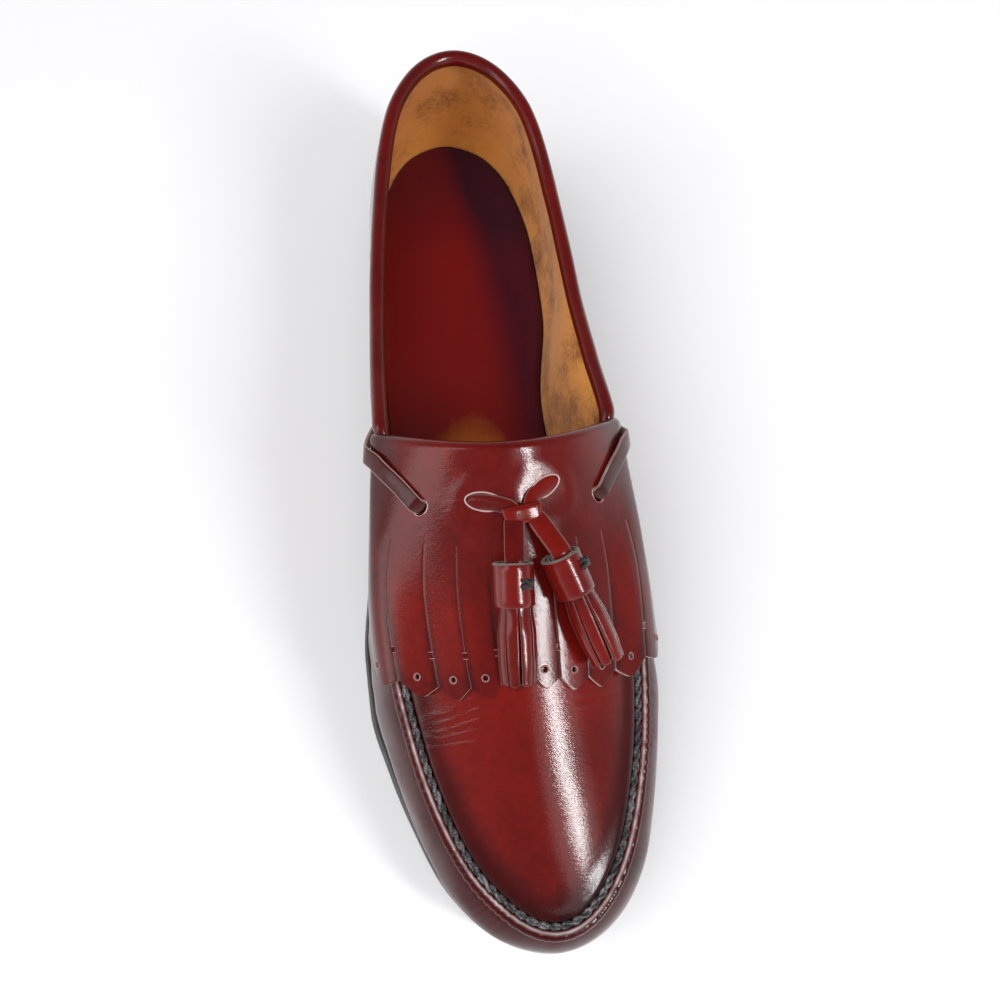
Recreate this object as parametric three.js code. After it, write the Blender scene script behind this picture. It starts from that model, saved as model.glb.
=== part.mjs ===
// A tassel loafer for the right foot, standing empty on its heel and forefoot.
// Millimetres, +Z up. The toe points along -Y and the inner side of the foot is +X.
// The origin is on the floor, under the middle of the heel.
import * as THREE from "three";

// Driving dimensions
const SOLE_LENGTH = 312;
const BALL_WIDTH = 102;
const INSTEP_RISE = 86;
const HEEL_HEIGHT = 23.5;
const TOE_SPRING = 8.5;
const HEEL_CENTRE = 45;
const HEEL_LENGTH = 88;
const HEEL_TAPER = 1.5;
const BREAST_CURVE = 3;
const TOP_LIFT_THICKNESS = 5;
const OUTSOLE_THICKNESS = 5;
const WELT_THICKNESS = 3;
const WELT_WIDTH = 13;
const INSOLE_THICKNESS = 2.6;
const WALL = 1.9;
const FIT = 0.3;

// Where the topline and the seam start and end, in from the two ends of the sole
const EDGE_BACK = 5;
const EDGE_FRONT = 2.5;
const THROAT_CORNER_SHARE = 0.485;
const THROAT_CENTRE_SHARE = 0.54;
const PLUG_END_SHARE = 0.885;

// Raised seam between the plug and the wall
const ROLL_HEIGHT = 2.2;
const ROLL_WALL_REACH = 3;
const ROLL_PLUG_REACH = 3.4;

// Rolled binding along the collar
const BINDING_WIDTH = 5.4;
const BINDING_HEIGHT = 5.8;
const BINDING_SIDES = 10;

// Kiltie: a fringed flap over the throat
const KILTIE_THICKNESS = 1.5;
const KILTIE_GAP = 0.55;
const KILTIE_CENTRE_SHARE = 0.812;
const KILTIE_SIDE_SHARE = 0.712;
const KILTIE_OVERHANG = 7;
const KILTIE_CREASE = 0.9;
const KILTIE_STRIPS = 10;
const SLIT_WIDTH = 0.5;
const SLIT_TOP = 0.39;
const SLIT_END = 0.81;
const SLIT_BRIDGE = 0.835;
const NOTCH = 0.95;

// Lace strap and its tassels
const STRAP_WIDTH = 6;
const STRAP_THICKNESS = 1.7;
const LACE_WIDTH = 5;
const LACE_THICKNESS = 1.7;
const KNOT_WIDTH = 12;
const KNOT_LENGTH = 5.6;
const KNOT_THICKNESS = 4.2;
const CAP_RADIUS = 7;
const CAP_LENGTH = 13.5;
const FRINGE_LENGTH = 24;
const FRINGE_RADIUS = 6.2;
const FRINGE_STRIPS = 10;
const FRINGE_GROOVE = 1.7;

// Outline of the sole: share of its length, middle and half width as shares of the ball width
const SOLE_OUTLINE = [
  ["share", "centre", "half"],
  [0, 0, 0],
  [0.03, 0, 0.2],
  [0.08, 0, 0.285],
  [0.16, 0, 0.335],
  [0.27, -0.005, 0.348],
  [0.38, -0.03, 0.33],
  [0.48, -0.022, 0.365],
  [0.58, 0.006, 0.438],
  [0.67, 0.02, 0.484],
  [0.73, 0.027, 0.487],
  [0.8, 0.034, 0.447],
  [0.87, 0.038, 0.382],
  [0.93, 0.042, 0.308],
  [0.975, 0.048, 0.2],
  [1, 0.05, 0],
];

// Topline and seam seen from above, in the same shares of their own run
const EDGE_OUTLINE = [
  ["share", "centre", "half"],
  [0, 0, 0],
  [0.03, 0, 0.165],
  [0.08, 0, 0.248],
  [0.16, 0, 0.305],
  [0.27, -0.004, 0.342],
  [0.38, -0.006, 0.366],
  [0.48, -0.002, 0.385],
  [0.58, 0.002, 0.399],
  [0.67, 0.006, 0.405],
  [0.73, 0.012, 0.397],
  [0.8, 0.02, 0.37],
  [0.87, 0.025, 0.32],
  [0.93, 0.031, 0.25],
  [0.975, 0.04, 0.152],
  [1, 0.043, 0],
];

// How far the wall stands in or out from the sole's edge, as shares of the ball width
const WALL_SECTION = [
  ["share", "tuck", "low", "high"],
  [0, 0.024, 0.024, 0.008],
  [0.16, 0.022, 0.018, -0.006],
  [0.3, 0.02, 0.014, -0.012],
  [0.42, 0.022, 0.01, -0.016],
  [0.52, 0.03, 0.014, -0.018],
  [0.62, 0.04, 0.024, -0.008],
  [0.75, 0.046, 0.03, 0.004],
  [0.88, 0.044, 0.044, 0.03],
  [1, 0.042, 0.054, 0.048],
];

// Underside of the outsole above the floor: shares of the heel height and of the toe spring
const ARCH = [
  ["share", "heel", "toe"],
  [0, 1, 0],
  [0.27, 0.83, 0],
  [0.38, 0.6, 0],
  [0.48, 0.277, 0],
  [0.56, 0.07, 0],
  [0.62, 0, 0],
  [0.8, 0, 0],
  [0.9, 0, 0.3],
  [1, 0, 1],
];

// Height of topline and seam above the feather line, as shares of the instep's rise
const EDGE_RISE = [
  ["share", "rise"],
  [0, 0.63],
  [0.08, 0.618],
  [0.2, 0.52],
  [0.3, 0.504],
  [0.4, 0.592],
  [0.485, 0.7],
  [0.58, 0.66],
  [0.65, 0.578],
  [0.72, 0.508],
  [0.8, 0.45],
  [0.87, 0.402],
  [0.93, 0.357],
  [1, 0.287],
];

// The plug's middle line: height as a share of the instep's rise, sideways as a share of the ball width
const RIDGE = [
  ["share", "rise", "sideways"],
  [0.5, 1.04, 0],
  [0.54, 1, 0],
  [0.62, 0.88, 0.005],
  [0.7, 0.758, 0.008],
  [0.78, 0.659, 0.014],
  [0.84, 0.587, 0.022],
  [0.885, 0.519, 0.03],
  [0.95, 0.42, 0.036],
];

function angleOfShare(share) {
  return Math.acos(1 - 2 * share);
}

function shareOfAngle(angle) {
  return (1 - Math.cos(angle)) / 2;
}

// A smooth curve through one column of a table, without overshoot
function curve(table, column, place = (share) => share) {
  const [names, ...rows] = table;
  const index = names.indexOf(column);
  const at = rows.map((row) => place(row[0]));
  const value = rows.map((row) => row[index]);
  const last = rows.length - 1;
  const slope = [];
  for (let i = 0; i < last; i++) {
    slope.push((value[i + 1] - value[i]) / (at[i + 1] - at[i]));
  }
  const tangent = value.map((_, i) => {
    if (i === 0) return slope[0];
    if (i === last) return slope[last - 1];
    const product = slope[i - 1] * slope[i];
    return product > 0 ? (2 * product) / (slope[i - 1] + slope[i]) : 0;
  });
  return (x) => {
    const here = Math.min(Math.max(x, at[0]), at[last]);
    let i = 0;
    while (i < last - 1 && here > at[i + 1]) i++;
    const step = at[i + 1] - at[i];
    const q = (here - at[i]) / step;
    const smooth = q * q * (3 - 2 * q);
    return (
      value[i] +
      (value[i + 1] - value[i]) * smooth +
      step * (tangent[i] * q * (1 - q) ** 2 - tangent[i + 1] * q * q * (1 - q))
    );
  };
}

function smoothStep(from, to, x) {
  return THREE.MathUtils.smoothstep(x, from, to);
}

const soleCentre = curve(SOLE_OUTLINE, "centre", angleOfShare);
const soleHalf = curve(SOLE_OUTLINE, "half", angleOfShare);
const edgeCentre = curve(EDGE_OUTLINE, "centre", angleOfShare);
const edgeHalf = curve(EDGE_OUTLINE, "half", angleOfShare);
const tuckShare = curve(WALL_SECTION, "tuck");
const lowShare = curve(WALL_SECTION, "low");
const highShare = curve(WALL_SECTION, "high");
const archHeel = curve(ARCH, "heel");
const archToe = curve(ARCH, "toe");
const edgeRise = curve(EDGE_RISE, "rise");
const ridgeRise = curve(RIDGE, "rise");
const ridgeSideways = curve(RIDGE, "sideways");

// Places are given by x and by s, the distance from the back of the heel towards the toe
function place(x, s, z) {
  return new THREE.Vector3(x, HEEL_CENTRE - s, z);
}

function soleUnderside(s) {
  const share = s / SOLE_LENGTH;
  return HEEL_HEIGHT * archHeel(share) + TOE_SPRING * archToe(share);
}

function outsoleTop(s) {
  return soleUnderside(s) + OUTSOLE_THICKNESS;
}

function weltTop(s) {
  return outsoleTop(s) + FIT + WELT_THICKNESS;
}

function featherLine(s) {
  return weltTop(s) + FIT;
}

// side is -1 on the outer side of the foot and 1 on the inner side; the angle runs from heel to toe
function soleEdge(side, angle) {
  return {
    x: BALL_WIDTH * (soleCentre(angle) + side * soleHalf(angle)),
    s: SOLE_LENGTH * shareOfAngle(angle),
  };
}

function outward(side, angle) {
  const step = 0.001;
  const before = soleEdge(side, Math.max(angle - step, 0));
  const after = soleEdge(side, Math.min(angle + step, Math.PI));
  const dx = after.x - before.x;
  const ds = after.s - before.s;
  const length = Math.hypot(dx, ds);
  return { x: (side * ds) / length, s: (-side * dx) / length };
}

function besideSole(side, angle, offset) {
  const edge = soleEdge(side, angle);
  const out = outward(side, angle);
  return { x: edge.x + out.x * offset, s: edge.s + out.s * offset };
}

function upperEdge(side, angle) {
  const share = shareOfAngle(angle);
  const s = EDGE_BACK + (SOLE_LENGTH - EDGE_BACK - EDGE_FRONT) * share;
  return {
    x: BALL_WIDTH * (edgeCentre(angle) + side * edgeHalf(angle)),
    s,
    z: featherLine(s) + INSTEP_RISE * edgeRise(s / SOLE_LENGTH),
  };
}

// rise is 0 at the feather line and 1 at the topline or seam
function wallPoint(side, angle, rise) {
  const share = shareOfAngle(angle);
  const foot = besideSole(side, angle, -BALL_WIDTH * tuckShare(share));
  const low = besideSole(side, angle, BALL_WIDTH * lowShare(share));
  const high = besideSole(side, angle, BALL_WIDTH * highShare(share));
  const edge = upperEdge(side, angle);
  const bottom = featherLine(foot.s);
  const left = 1 - rise;
  const weights = [left ** 3, 3 * left * left * rise, 3 * left * rise * rise, rise ** 3];
  const mix = (key) =>
    weights[0] * foot[key] + weights[1] * low[key] + weights[2] * high[key] + weights[3] * edge[key];
  const lift = 0.3 * weights[1] + 0.74 * weights[2] + weights[3];
  return place(mix("x"), mix("s"), bottom + (edge.z - bottom) * lift);
}

const THROAT_ANGLE = angleOfShare(THROAT_CORNER_SHARE);
const THROAT_CORNER_S = upperEdge(1, THROAT_ANGLE).s;
const SEAM_TOE_S = upperEdge(1, Math.PI).s;

function ridgePoint(share) {
  const s = share * SOLE_LENGTH;
  return { x: BALL_WIDTH * ridgeSideways(share), s, z: featherLine(s) + INSTEP_RISE * ridgeRise(share) };
}

// across is 0 on the plug's middle line and 1 at the seam
function plugPoint(side, angle, across) {
  const seam = upperEdge(side, angle);
  const along = (seam.s - THROAT_CORNER_S) / (SEAM_TOE_S - THROAT_CORNER_S);
  const share = THROAT_CENTRE_SHARE + (PLUG_END_SHARE - THROAT_CENTRE_SHARE) * along;
  const step = 0.002;
  const ridge = ridgePoint(share);
  const ahead = ridgePoint(share + step);
  const behind = ridgePoint(share - step);
  const slope = (ahead.z - behind.z) / (ahead.s - behind.s);
  const round = THREE.MathUtils.clamp(1 - along, 0, 1);
  const s = ridge.s + (seam.s - ridge.s) * (round * across * across + (1 - round) * across);
  const drop = seam.z - ridge.z - slope * (seam.s - ridge.s);
  return place(
    ridge.x + (seam.x - ridge.x) * across,
    s,
    ridge.z + slope * (s - ridge.s) + drop * across * across,
  );
}

// down is 0 on the middle line, 1 at the seam or topline and 2 at the feather line
function skinPoint(side, angle, down) {
  return down <= 1 ? plugPoint(side, angle, down) : wallPoint(side, angle, 2 - down);
}

function oneSideNormal(side, angle, down) {
  const turn = 0.06;
  const drop = 0.05;
  const lowest = angle < THROAT_ANGLE ? 1 : 0;
  const along = skinPoint(side, Math.min(angle + turn, Math.PI), down);
  along.sub(skinPoint(side, Math.max(angle - turn, lowest === 1 ? 0 : THROAT_ANGLE), down));
  const across = skinPoint(side, angle, Math.min(down + drop, 2));
  across.sub(skinPoint(side, angle, Math.max(down - drop, lowest)));
  const normal = along.cross(across).multiplyScalar(side);
  return normal.lengthSq() > 0 ? normal.normalize() : new THREE.Vector3(0, 0, 1);
}

// The two sides share the middle line, the heel's back and the toe, so there the normal is their mean
function skinNormal(side, angle, down) {
  const normal = oneSideNormal(side, angle, down);
  if (down === 0 || angle === 0 || angle === Math.PI) {
    normal.add(oneSideNormal(-side, angle, down)).normalize();
  }
  return normal;
}

// Bodies are built from a patch of faces and a second patch a thickness away, joined round the edges
function closedBody(outer, inner, faces) {
  const count = outer.length;
  const points = outer.concat(inner);
  const triangles = [];
  const edges = new Map();
  const addTriangle = (a, b, c) => {
    if (a !== b && b !== c && c !== a) triangles.push(a, b, c);
  };
  for (const face of faces) {
    const corners = face.filter((corner, i) => corner !== face[(i + 1) % face.length]);
    corners.forEach((corner, i) => {
      edges.set(`${corner} ${corners[(i + 1) % corners.length]}`, [corner, corners[(i + 1) % corners.length]]);
    });
    if (corners.length === 3) {
      const [a, b, c] = corners;
      addTriangle(a, b, c);
      addTriangle(c + count, b + count, a + count);
      continue;
    }
    const [a, b, c, d] = corners;
    const turned = points[a].distanceTo(points[c]) > points[b].distanceTo(points[d]);
    const halves = turned ? [[a, b, d], [b, c, d]] : [[a, b, c], [a, c, d]];
    for (const [i, j, k] of halves) {
      addTriangle(i, j, k);
      addTriangle(k + count, j + count, i + count);
    }
  }
  for (const [from, to] of edges.values()) {
    if (edges.has(`${to} ${from}`)) continue;
    addTriangle(to, from, from + count);
    addTriangle(to, from + count, to + count);
  }
  return geometryOf(points, triangles);
}

function geometryOf(points, triangles) {
  const used = new Map();
  const positions = [];
  const index = triangles.map((id) => {
    if (!used.has(id)) {
      used.set(id, used.size);
      positions.push(points[id].x, points[id].y, points[id].z);
    }
    return used.get(id);
  });
  const geometry = new THREE.BufferGeometry();
  geometry.setAttribute("position", new THREE.Float32BufferAttribute(positions, 3));
  geometry.setIndex(index);
  geometry.computeVertexNormals();
  return geometry;
}

// Turns a face over where it looks against the given direction
function facing(points, face, direction) {
  const [a, b, c] = [points[face[0]], points[face[1]], points[face[2]]];
  const d = points[face[face.length - 1]];
  const normal = c.clone().sub(a).cross(d.clone().sub(b));
  if (face.length === 3) normal.copy(b.clone().sub(a).cross(c.clone().sub(a)));
  return normal.dot(direction) < 0 ? face.slice().reverse() : face;
}

const LEATHER = { color: 0x5a1013, roughness: 0.22, metalness: 0 };
const BLACK_EDGE = { color: 0x151314, roughness: 0.4, metalness: 0 };
const RUBBER = { color: 0x1b1b1d, roughness: 0.7, metalness: 0 };
const group = new THREE.Group();

function addPart(name, geometry, material) {
  const mesh = new THREE.Mesh(geometry, new THREE.MeshStandardMaterial(material));
  mesh.name = name;
  group.add(mesh);
}

// Columns round the shoe, with one at the throat's corner and one just behind it
const HEEL_COLUMNS = 16;
const TOE_COLUMNS = 18;
const BINDING_END_ANGLE = THROAT_ANGLE - 0.032;
const COLUMN_ANGLES = [];
for (let i = 0; i <= HEEL_COLUMNS; i++) COLUMN_ANGLES.push((BINDING_END_ANGLE * i) / HEEL_COLUMNS);
for (let i = 0; i <= TOE_COLUMNS; i++) {
  COLUMN_ANGLES.push(THROAT_ANGLE + ((Math.PI - THROAT_ANGLE) * i) / TOE_COLUMNS);
}
const LAST_COLUMN = COLUMN_ANGLES.length - 1;
const THROAT_COLUMN = HEEL_COLUMNS + 1;

// A plate under the foot, from the heel's back to endAngle: insets at its top and bottom and two heights
function plate({ topInset, bottomInset, top, bottom, endAngle = Math.PI, frontCurve = 0 }) {
  const across = 6;
  const whole = endAngle === Math.PI;
  const behindEnd = (angle) => SOLE_LENGTH * (shareOfAngle(endAngle) - shareOfAngle(angle));
  const angles = COLUMN_ANGLES.filter((angle) => behindEnd(angle) > 1.5 * frontCurve);
  angles.push(endAngle);
  const layers = [
    { inset: topInset, height: top, points: [] },
    { inset: bottomInset, height: bottom, points: [] },
  ];
  const rows = [];
  angles.forEach((angle, i) => {
    const single = i === 0 || (whole && i === angles.length - 1);
    const row = [];
    for (let j = 0; j <= across; j++) row.push(single ? layers[0].points.length : layers[0].points.length + j);
    rows.push(row);
    for (const layer of layers) {
      const outer = besideSole(-1, angle, -layer.inset(angle));
      const inner = besideSole(1, angle, -layer.inset(angle));
      const count = single ? 0 : across;
      for (let j = 0; j <= count; j++) {
        const mix = single ? 0.5 : j / across;
        const front = i === angles.length - 1 ? frontCurve * (1 - (2 * mix - 1) ** 2) : 0;
        const s = outer.s + (inner.s - outer.s) * mix - front;
        layer.points.push(place(outer.x + (inner.x - outer.x) * mix, s, layer.height(s)));
      }
    }
  });
  const faces = [];
  const up = new THREE.Vector3(0, 0, 1);
  for (let i = 0; i + 1 < rows.length; i++) {
    for (let j = 0; j < across; j++) {
      const face = [rows[i][j], rows[i][j + 1], rows[i + 1][j + 1], rows[i + 1][j]];
      const corners = face.filter((corner, k) => corner !== face[(k + 1) % 4]);
      faces.push(facing(layers[0].points, corners, up));
    }
  }
  return closedBody(layers[0].points, layers[1].points, faces);
}

const breastAngle = angleOfShare(HEEL_LENGTH / SOLE_LENGTH);
const taperAt = (height) => HEEL_TAPER * (1 - height / HEEL_HEIGHT);

addPart(
  "heel_top_lift",
  plate({
    topInset: () => taperAt(TOP_LIFT_THICKNESS),
    bottomInset: () => taperAt(0),
    top: () => TOP_LIFT_THICKNESS,
    bottom: () => 0,
    endAngle: breastAngle,
    frontCurve: BREAST_CURVE,
  }),
  RUBBER,
);

addPart(
  "heel_stack",
  plate({
    topInset: () => taperAt(HEEL_HEIGHT),
    bottomInset: () => taperAt(TOP_LIFT_THICKNESS),
    top: (s) => soleUnderside(s) - FIT,
    bottom: () => TOP_LIFT_THICKNESS,
    endAngle: breastAngle,
    frontCurve: BREAST_CURVE,
  }),
  BLACK_EDGE,
);

addPart(
  "outsole",
  plate({ topInset: () => 0, bottomInset: () => 0.6, top: outsoleTop, bottom: soleUnderside }),
  BLACK_EDGE,
);

// The welt is a ring on the outsole, and the upper is lasted onto it
function weltRing() {
  const top = [];
  const bottom = [];
  const faces = [];
  const ring = [];
  for (let i = 0; i <= LAST_COLUMN; i++) ring.push([-1, COLUMN_ANGLES[i]]);
  for (let i = LAST_COLUMN - 1; i > 0; i--) ring.push([1, COLUMN_ANGLES[i]]);
  for (const [side, angle] of ring) {
    for (const inset of [0.4, WELT_WIDTH]) {
      const point = besideSole(side, angle, -inset);
      top.push(place(point.x, point.s, weltTop(point.s)));
      bottom.push(place(point.x, point.s, outsoleTop(point.s) + FIT));
    }
  }
  const up = new THREE.Vector3(0, 0, 1);
  ring.forEach((_, i) => {
    const next = (i + 1) % ring.length;
    faces.push(facing(top, [2 * i, 2 * i + 1, 2 * next + 1, 2 * next], up));
  });
  return closedBody(top, bottom, faces);
}

addPart("welt", weltRing(), BLACK_EDGE);

const insoleInset = (angle) => BALL_WIDTH * tuckShare(shareOfAngle(angle)) + WALL + FIT;
addPart(
  "insole",
  plate({
    topInset: insoleInset,
    bottomInset: insoleInset,
    top: (s) => featherLine(s) + INSOLE_THICKNESS,
    bottom: featherLine,
  }),
  LEATHER,
);

// The roll is full height from a little way in front of the throat round the toe
function rollHeight(angle) {
  return ROLL_HEIGHT * smoothStep(THROAT_ANGLE, THROAT_ANGLE + 0.35, angle);
}

function wallHeight(angle) {
  const edge = upperEdge(1, angle);
  return edge.z - featherLine(edge.s);
}

function plugReach(angle) {
  return plugPoint(1, angle, 0).distanceTo(plugPoint(1, angle, 1));
}

// How fast the wall climbs where it reaches its edge, against its mean climb
const TOP_STEEPNESS = 0.78;

// Rows of the upper from the feather line up the wall and over the seam to the middle line
function upperRows(angle) {
  const height = wallHeight(angle);
  const open = angle < THROAT_ANGLE;
  const top = open ? 1 - (BINDING_HEIGHT / 2 + FIT) / (TOP_STEEPNESS * height) : 1;
  const rows = [0, 0.14, 0.3, 0.48, 0.66, 0.82].map((rise) => ({ down: 2 - rise * top, raise: 0 }));
  if (open) {
    rows.push({ down: 2 - 0.92 * top, raise: 0 }, { down: 2 - 0.96 * top, raise: 0 });
    rows.push({ down: 2 - top, raise: 0, rim: true });
    return rows;
  }
  const roll = rollHeight(angle);
  const reach = plugReach(angle);
  rows.push({ down: 1 + ROLL_WALL_REACH / height, raise: 0.1 * roll });
  rows.push({ down: 1 + (0.4 * ROLL_WALL_REACH) / height, raise: 0.75 * roll });
  rows.push({ down: 1, raise: roll });
  rows.push({ down: 1 - (0.5 * ROLL_PLUG_REACH) / reach, raise: 0.4 * roll });
  rows.push({ down: 1 - ROLL_PLUG_REACH / reach, raise: 0 });
  for (const down of [0.76, 0.58, 0.4, 0.2, 0]) rows.push({ down, raise: 0 });
  return rows;
}

const TOP_ROW = 8;

function hollowUpper() {
  const outer = [];
  const inner = [];
  const outwards = [];
  const known = new Map();
  const vertex = (side, column, row) => {
    const angle = COLUMN_ANGLES[column];
    const rows = upperRows(angle);
    const { down, raise, rim } = rows[row];
    const middle = column === 0 || column === LAST_COLUMN || down === 0;
    const key = `${middle ? 0 : side} ${column} ${row}`;
    if (known.has(key)) return known.get(key);
    const point = skinPoint(side, angle, down);
    const normal = skinNormal(side, angle, down);
    if (column === 0 || column === LAST_COLUMN) normal.setX(0).normalize();
    const inwards = normal.clone();
    if (row === 0 || rim) inwards.setZ(0).normalize();
    known.set(key, outer.length);
    outer.push(point.clone().addScaledVector(normal, raise));
    inner.push(point.clone().addScaledVector(inwards, -WALL));
    outwards.push(normal);
    return outer.length - 1;
  };
  const faces = [];
  for (const side of [-1, 1]) {
    for (let column = 0; column < LAST_COLUMN; column++) {
      const lastRow = column < THROAT_COLUMN ? TOP_ROW : upperRows(COLUMN_ANGLES[column]).length - 1;
      for (let row = 0; row < lastRow; row++) {
        const face = [
          vertex(side, column, row),
          vertex(side, column + 1, row),
          vertex(side, column + 1, row + 1),
          vertex(side, column, row + 1),
        ];
        const direction = new THREE.Vector3();
        face.forEach((corner) => direction.add(outwards[corner]));
        faces.push(facing(outer, face, direction));
      }
    }
  }
  return closedBody(outer, inner, faces);
}

addPart("upper", hollowUpper(), LEATHER);

// The binding is a soft tube on the topline, round the heel from one corner of the throat to the other
function bindingTube() {
  const stations = [];
  const last = BINDING_END_ANGLE - FIT / SOLE_LENGTH;
  const perSide = 22;
  for (let i = perSide; i >= -perSide; i--) stations.push([i >= 0 ? -1 : 1, (last * Math.abs(i)) / perSide]);
  const centres = stations.map(([side, angle]) => {
    const edge = upperEdge(side, angle);
    const normal = skinNormal(side, angle, 1);
    if (angle === 0) normal.setX(0);
    normal.setZ(0).normalize();
    return { middle: place(edge.x, edge.s, edge.z).addScaledVector(normal, -WALL / 2), normal };
  });
  const points = [];
  const triangles = [];
  for (const { middle, normal } of centres) {
    for (let k = 0; k < BINDING_SIDES; k++) {
      const turn = (2 * Math.PI * (k + 0.5)) / BINDING_SIDES;
      const point = middle.clone().addScaledVector(normal, (Math.cos(turn) * BINDING_WIDTH) / 2);
      points.push(point.setZ(point.z + (Math.sin(turn) * BINDING_HEIGHT) / 2));
    }
  }
  for (let i = 0; i + 1 < centres.length; i++) {
    for (let k = 0; k < BINDING_SIDES; k++) {
      const a = i * BINDING_SIDES + k;
      const b = i * BINDING_SIDES + ((k + 1) % BINDING_SIDES);
      triangles.push(a, a + BINDING_SIDES, b + BINDING_SIDES, a, b + BINDING_SIDES, b);
    }
  }
  return cappedTube(points, triangles, BINDING_SIDES);
}

// Closes a tube's two ends with a point in the middle of each, and turns it right side out
function cappedTube(points, triangles, sides) {
  const last = points.length - sides;
  const ends = [0, last].map((start) => {
    const middle = new THREE.Vector3();
    for (let k = 0; k < sides; k++) middle.add(points[start + k]);
    points.push(middle.divideScalar(sides));
    return points.length - 1;
  });
  for (let k = 0; k < sides; k++) {
    const next = (k + 1) % sides;
    triangles.push(ends[0], k, next);
    triangles.push(ends[1], last + next, last + k);
  }
  let volume = 0;
  for (let i = 0; i < triangles.length; i += 3) {
    const [a, b, c] = [points[triangles[i]], points[triangles[i + 1]], points[triangles[i + 2]]];
    volume += a.dot(b.clone().cross(c));
  }
  if (volume < 0) triangles.reverse();
  return geometryOf(points, triangles);
}

addPart("collar_binding", bindingTube(), LEATHER);

// The kiltie follows the plug and hangs over the seam. across runs from -1 to 1 and along from 0 to 1
function kiltieFrame(across, along) {
  const side = across < 0 ? -1 : 1;
  const wide = Math.abs(across);
  const endShare = KILTIE_CENTRE_SHARE + (KILTIE_SIDE_SHARE - KILTIE_CENTRE_SHARE) * wide * wide;
  const share = THROAT_CORNER_SHARE + (endShare - THROAT_CORNER_SHARE) * along;
  const angle = angleOfShare(share);
  const reach = plugReach(angle);
  const height = wallHeight(angle);
  const overhang = KILTIE_OVERHANG * smoothStep(0, 0.6, along);
  const distance = wide * (reach + overhang);
  const down = distance <= reach ? distance / reach : 1 + (distance - reach) / height;
  const fromSeam = (distance - reach) / (2 * ROLL_PLUG_REACH);
  const lift = (KILTIE_CREASE + 1.08 * rollHeight(angle)) * Math.exp(-(fromSeam ** 4));
  return { point: skinPoint(side, angle, down), normal: skinNormal(side, angle, down), lift };
}

function kiltiePoint(across, along, above) {
  const { point, normal, lift } = kiltieFrame(across, along);
  return point.addScaledVector(normal, KILTIE_GAP + lift + above);
}

function kiltieFlap() {
  const stripWidth = 2 / KILTIE_STRIPS;
  const halfSlit = SLIT_WIDTH / BALL_WIDTH;
  const lines = [];
  for (let strip = 0; strip < KILTIE_STRIPS; strip++) {
    const left = -1 + strip * stripWidth;
    lines.push({ across: left + (strip > 0 ? halfSlit : 0) });
    lines.push({ across: left + stripWidth / 2, tip: true });
    const end = strip < KILTIE_STRIPS - 1 ? halfSlit : 0;
    lines.push({ across: left + stripWidth - end, slitAfter: strip < KILTIE_STRIPS - 1 });
  }
  const rows = [0, 0.08, 0.16, 0.24, 0.32, SLIT_TOP, 0.47, 0.555, 0.64, 0.725, SLIT_END, SLIT_BRIDGE, 0.89, 1];
  const lastRow = rows.length - 1;
  const inSlit = (row) => (rows[row] >= SLIT_TOP && rows[row + 1] <= SLIT_END) || rows[row] >= SLIT_BRIDGE;
  const top = [];
  const under = [];
  const outwards = [];
  rows.forEach((along, row) => {
    for (const { across, tip } of lines) {
      const reach = row === lastRow && !tip ? NOTCH : along;
      top.push(kiltiePoint(across, reach, KILTIE_THICKNESS));
      under.push(kiltiePoint(across, reach, 0));
      outwards.push(kiltieFrame(across, reach).normal);
    }
  });
  const faces = [];
  for (let row = 0; row < lastRow; row++) {
    for (let line = 0; line + 1 < lines.length; line++) {
      if (lines[line].slitAfter && inSlit(row)) continue;
      const a = row * lines.length + line;
      faces.push(facing(top, [a, a + 1, a + 1 + lines.length, a + lines.length], outwards[a]));
    }
  }
  return closedBody(top, under, faces);
}

addPart("kiltie", kiltieFlap(), LEATHER);

// A flat bar along a run of points, each with the direction that its top face looks in
function flatBar(run, width, thickness) {
  const top = [];
  const under = [];
  const faces = [];
  run.forEach(({ point, normal }, i) => {
    const before = run[Math.max(i - 1, 0)].point;
    const after = run[Math.min(i + 1, run.length - 1)].point;
    const sideways = after.clone().sub(before).cross(normal).normalize();
    const up = sideways.clone().cross(after.clone().sub(before)).normalize();
    if (up.dot(normal) < 0) up.negate();
    for (const offset of [-0.5, 0, 0.5]) {
      const edge = point.clone().addScaledVector(sideways, offset * width);
      const crown = offset === 0 ? 1 : 0.8;
      top.push(edge.clone().addScaledVector(up, thickness * crown));
      under.push(edge);
    }
  });
  for (let i = 0; i + 1 < run.length; i++) {
    for (let j = 0; j < 2; j++) {
      const a = 3 * i + j;
      faces.push(facing(top, [a, a + 1, a + 4, a + 3], run[i].normal));
    }
  }
  return closedBody(top, under, faces);
}

// The strap leaves a slot in the kiltie, crosses the corner of the throat and lies on the wall
const STRAP_ROUTE = [
  ["step", "share", "down", "lift"],
  [0, 0.56, 0.66, 1],
  [0.3, 0.532, 0.8, 1.15],
  [0.55, 0.508, 0.95, 1.5],
  [0.75, 0.487, 1.09, 1.25],
  [1, 0.455, 1.19, 0],
  [1.3, 0.425, 1.23, 0],
];
const strapShare = curve(STRAP_ROUTE, "share");
const strapDown = curve(STRAP_ROUTE, "down");
const strapLift = curve(STRAP_ROUTE, "lift");

function sideStrap(side) {
  const run = [];
  const onKiltie = KILTIE_GAP + KILTIE_THICKNESS + FIT;
  for (let step = 0; step <= 1.301; step += 0.1) {
    const angle = angleOfShare(strapShare(step));
    const down = strapDown(step);
    const normal = skinNormal(side, angle, Math.max(down, angle < THROAT_ANGLE ? 1.01 : down));
    const lift = FIT + 0.4 + (onKiltie + 0.5 - FIT) * strapLift(step);
    run.push({ point: skinPoint(side, angle, down).addScaledVector(normal, lift), normal });
  }
  return flatBar(run, STRAP_WIDTH, STRAP_THICKNESS);
}

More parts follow.
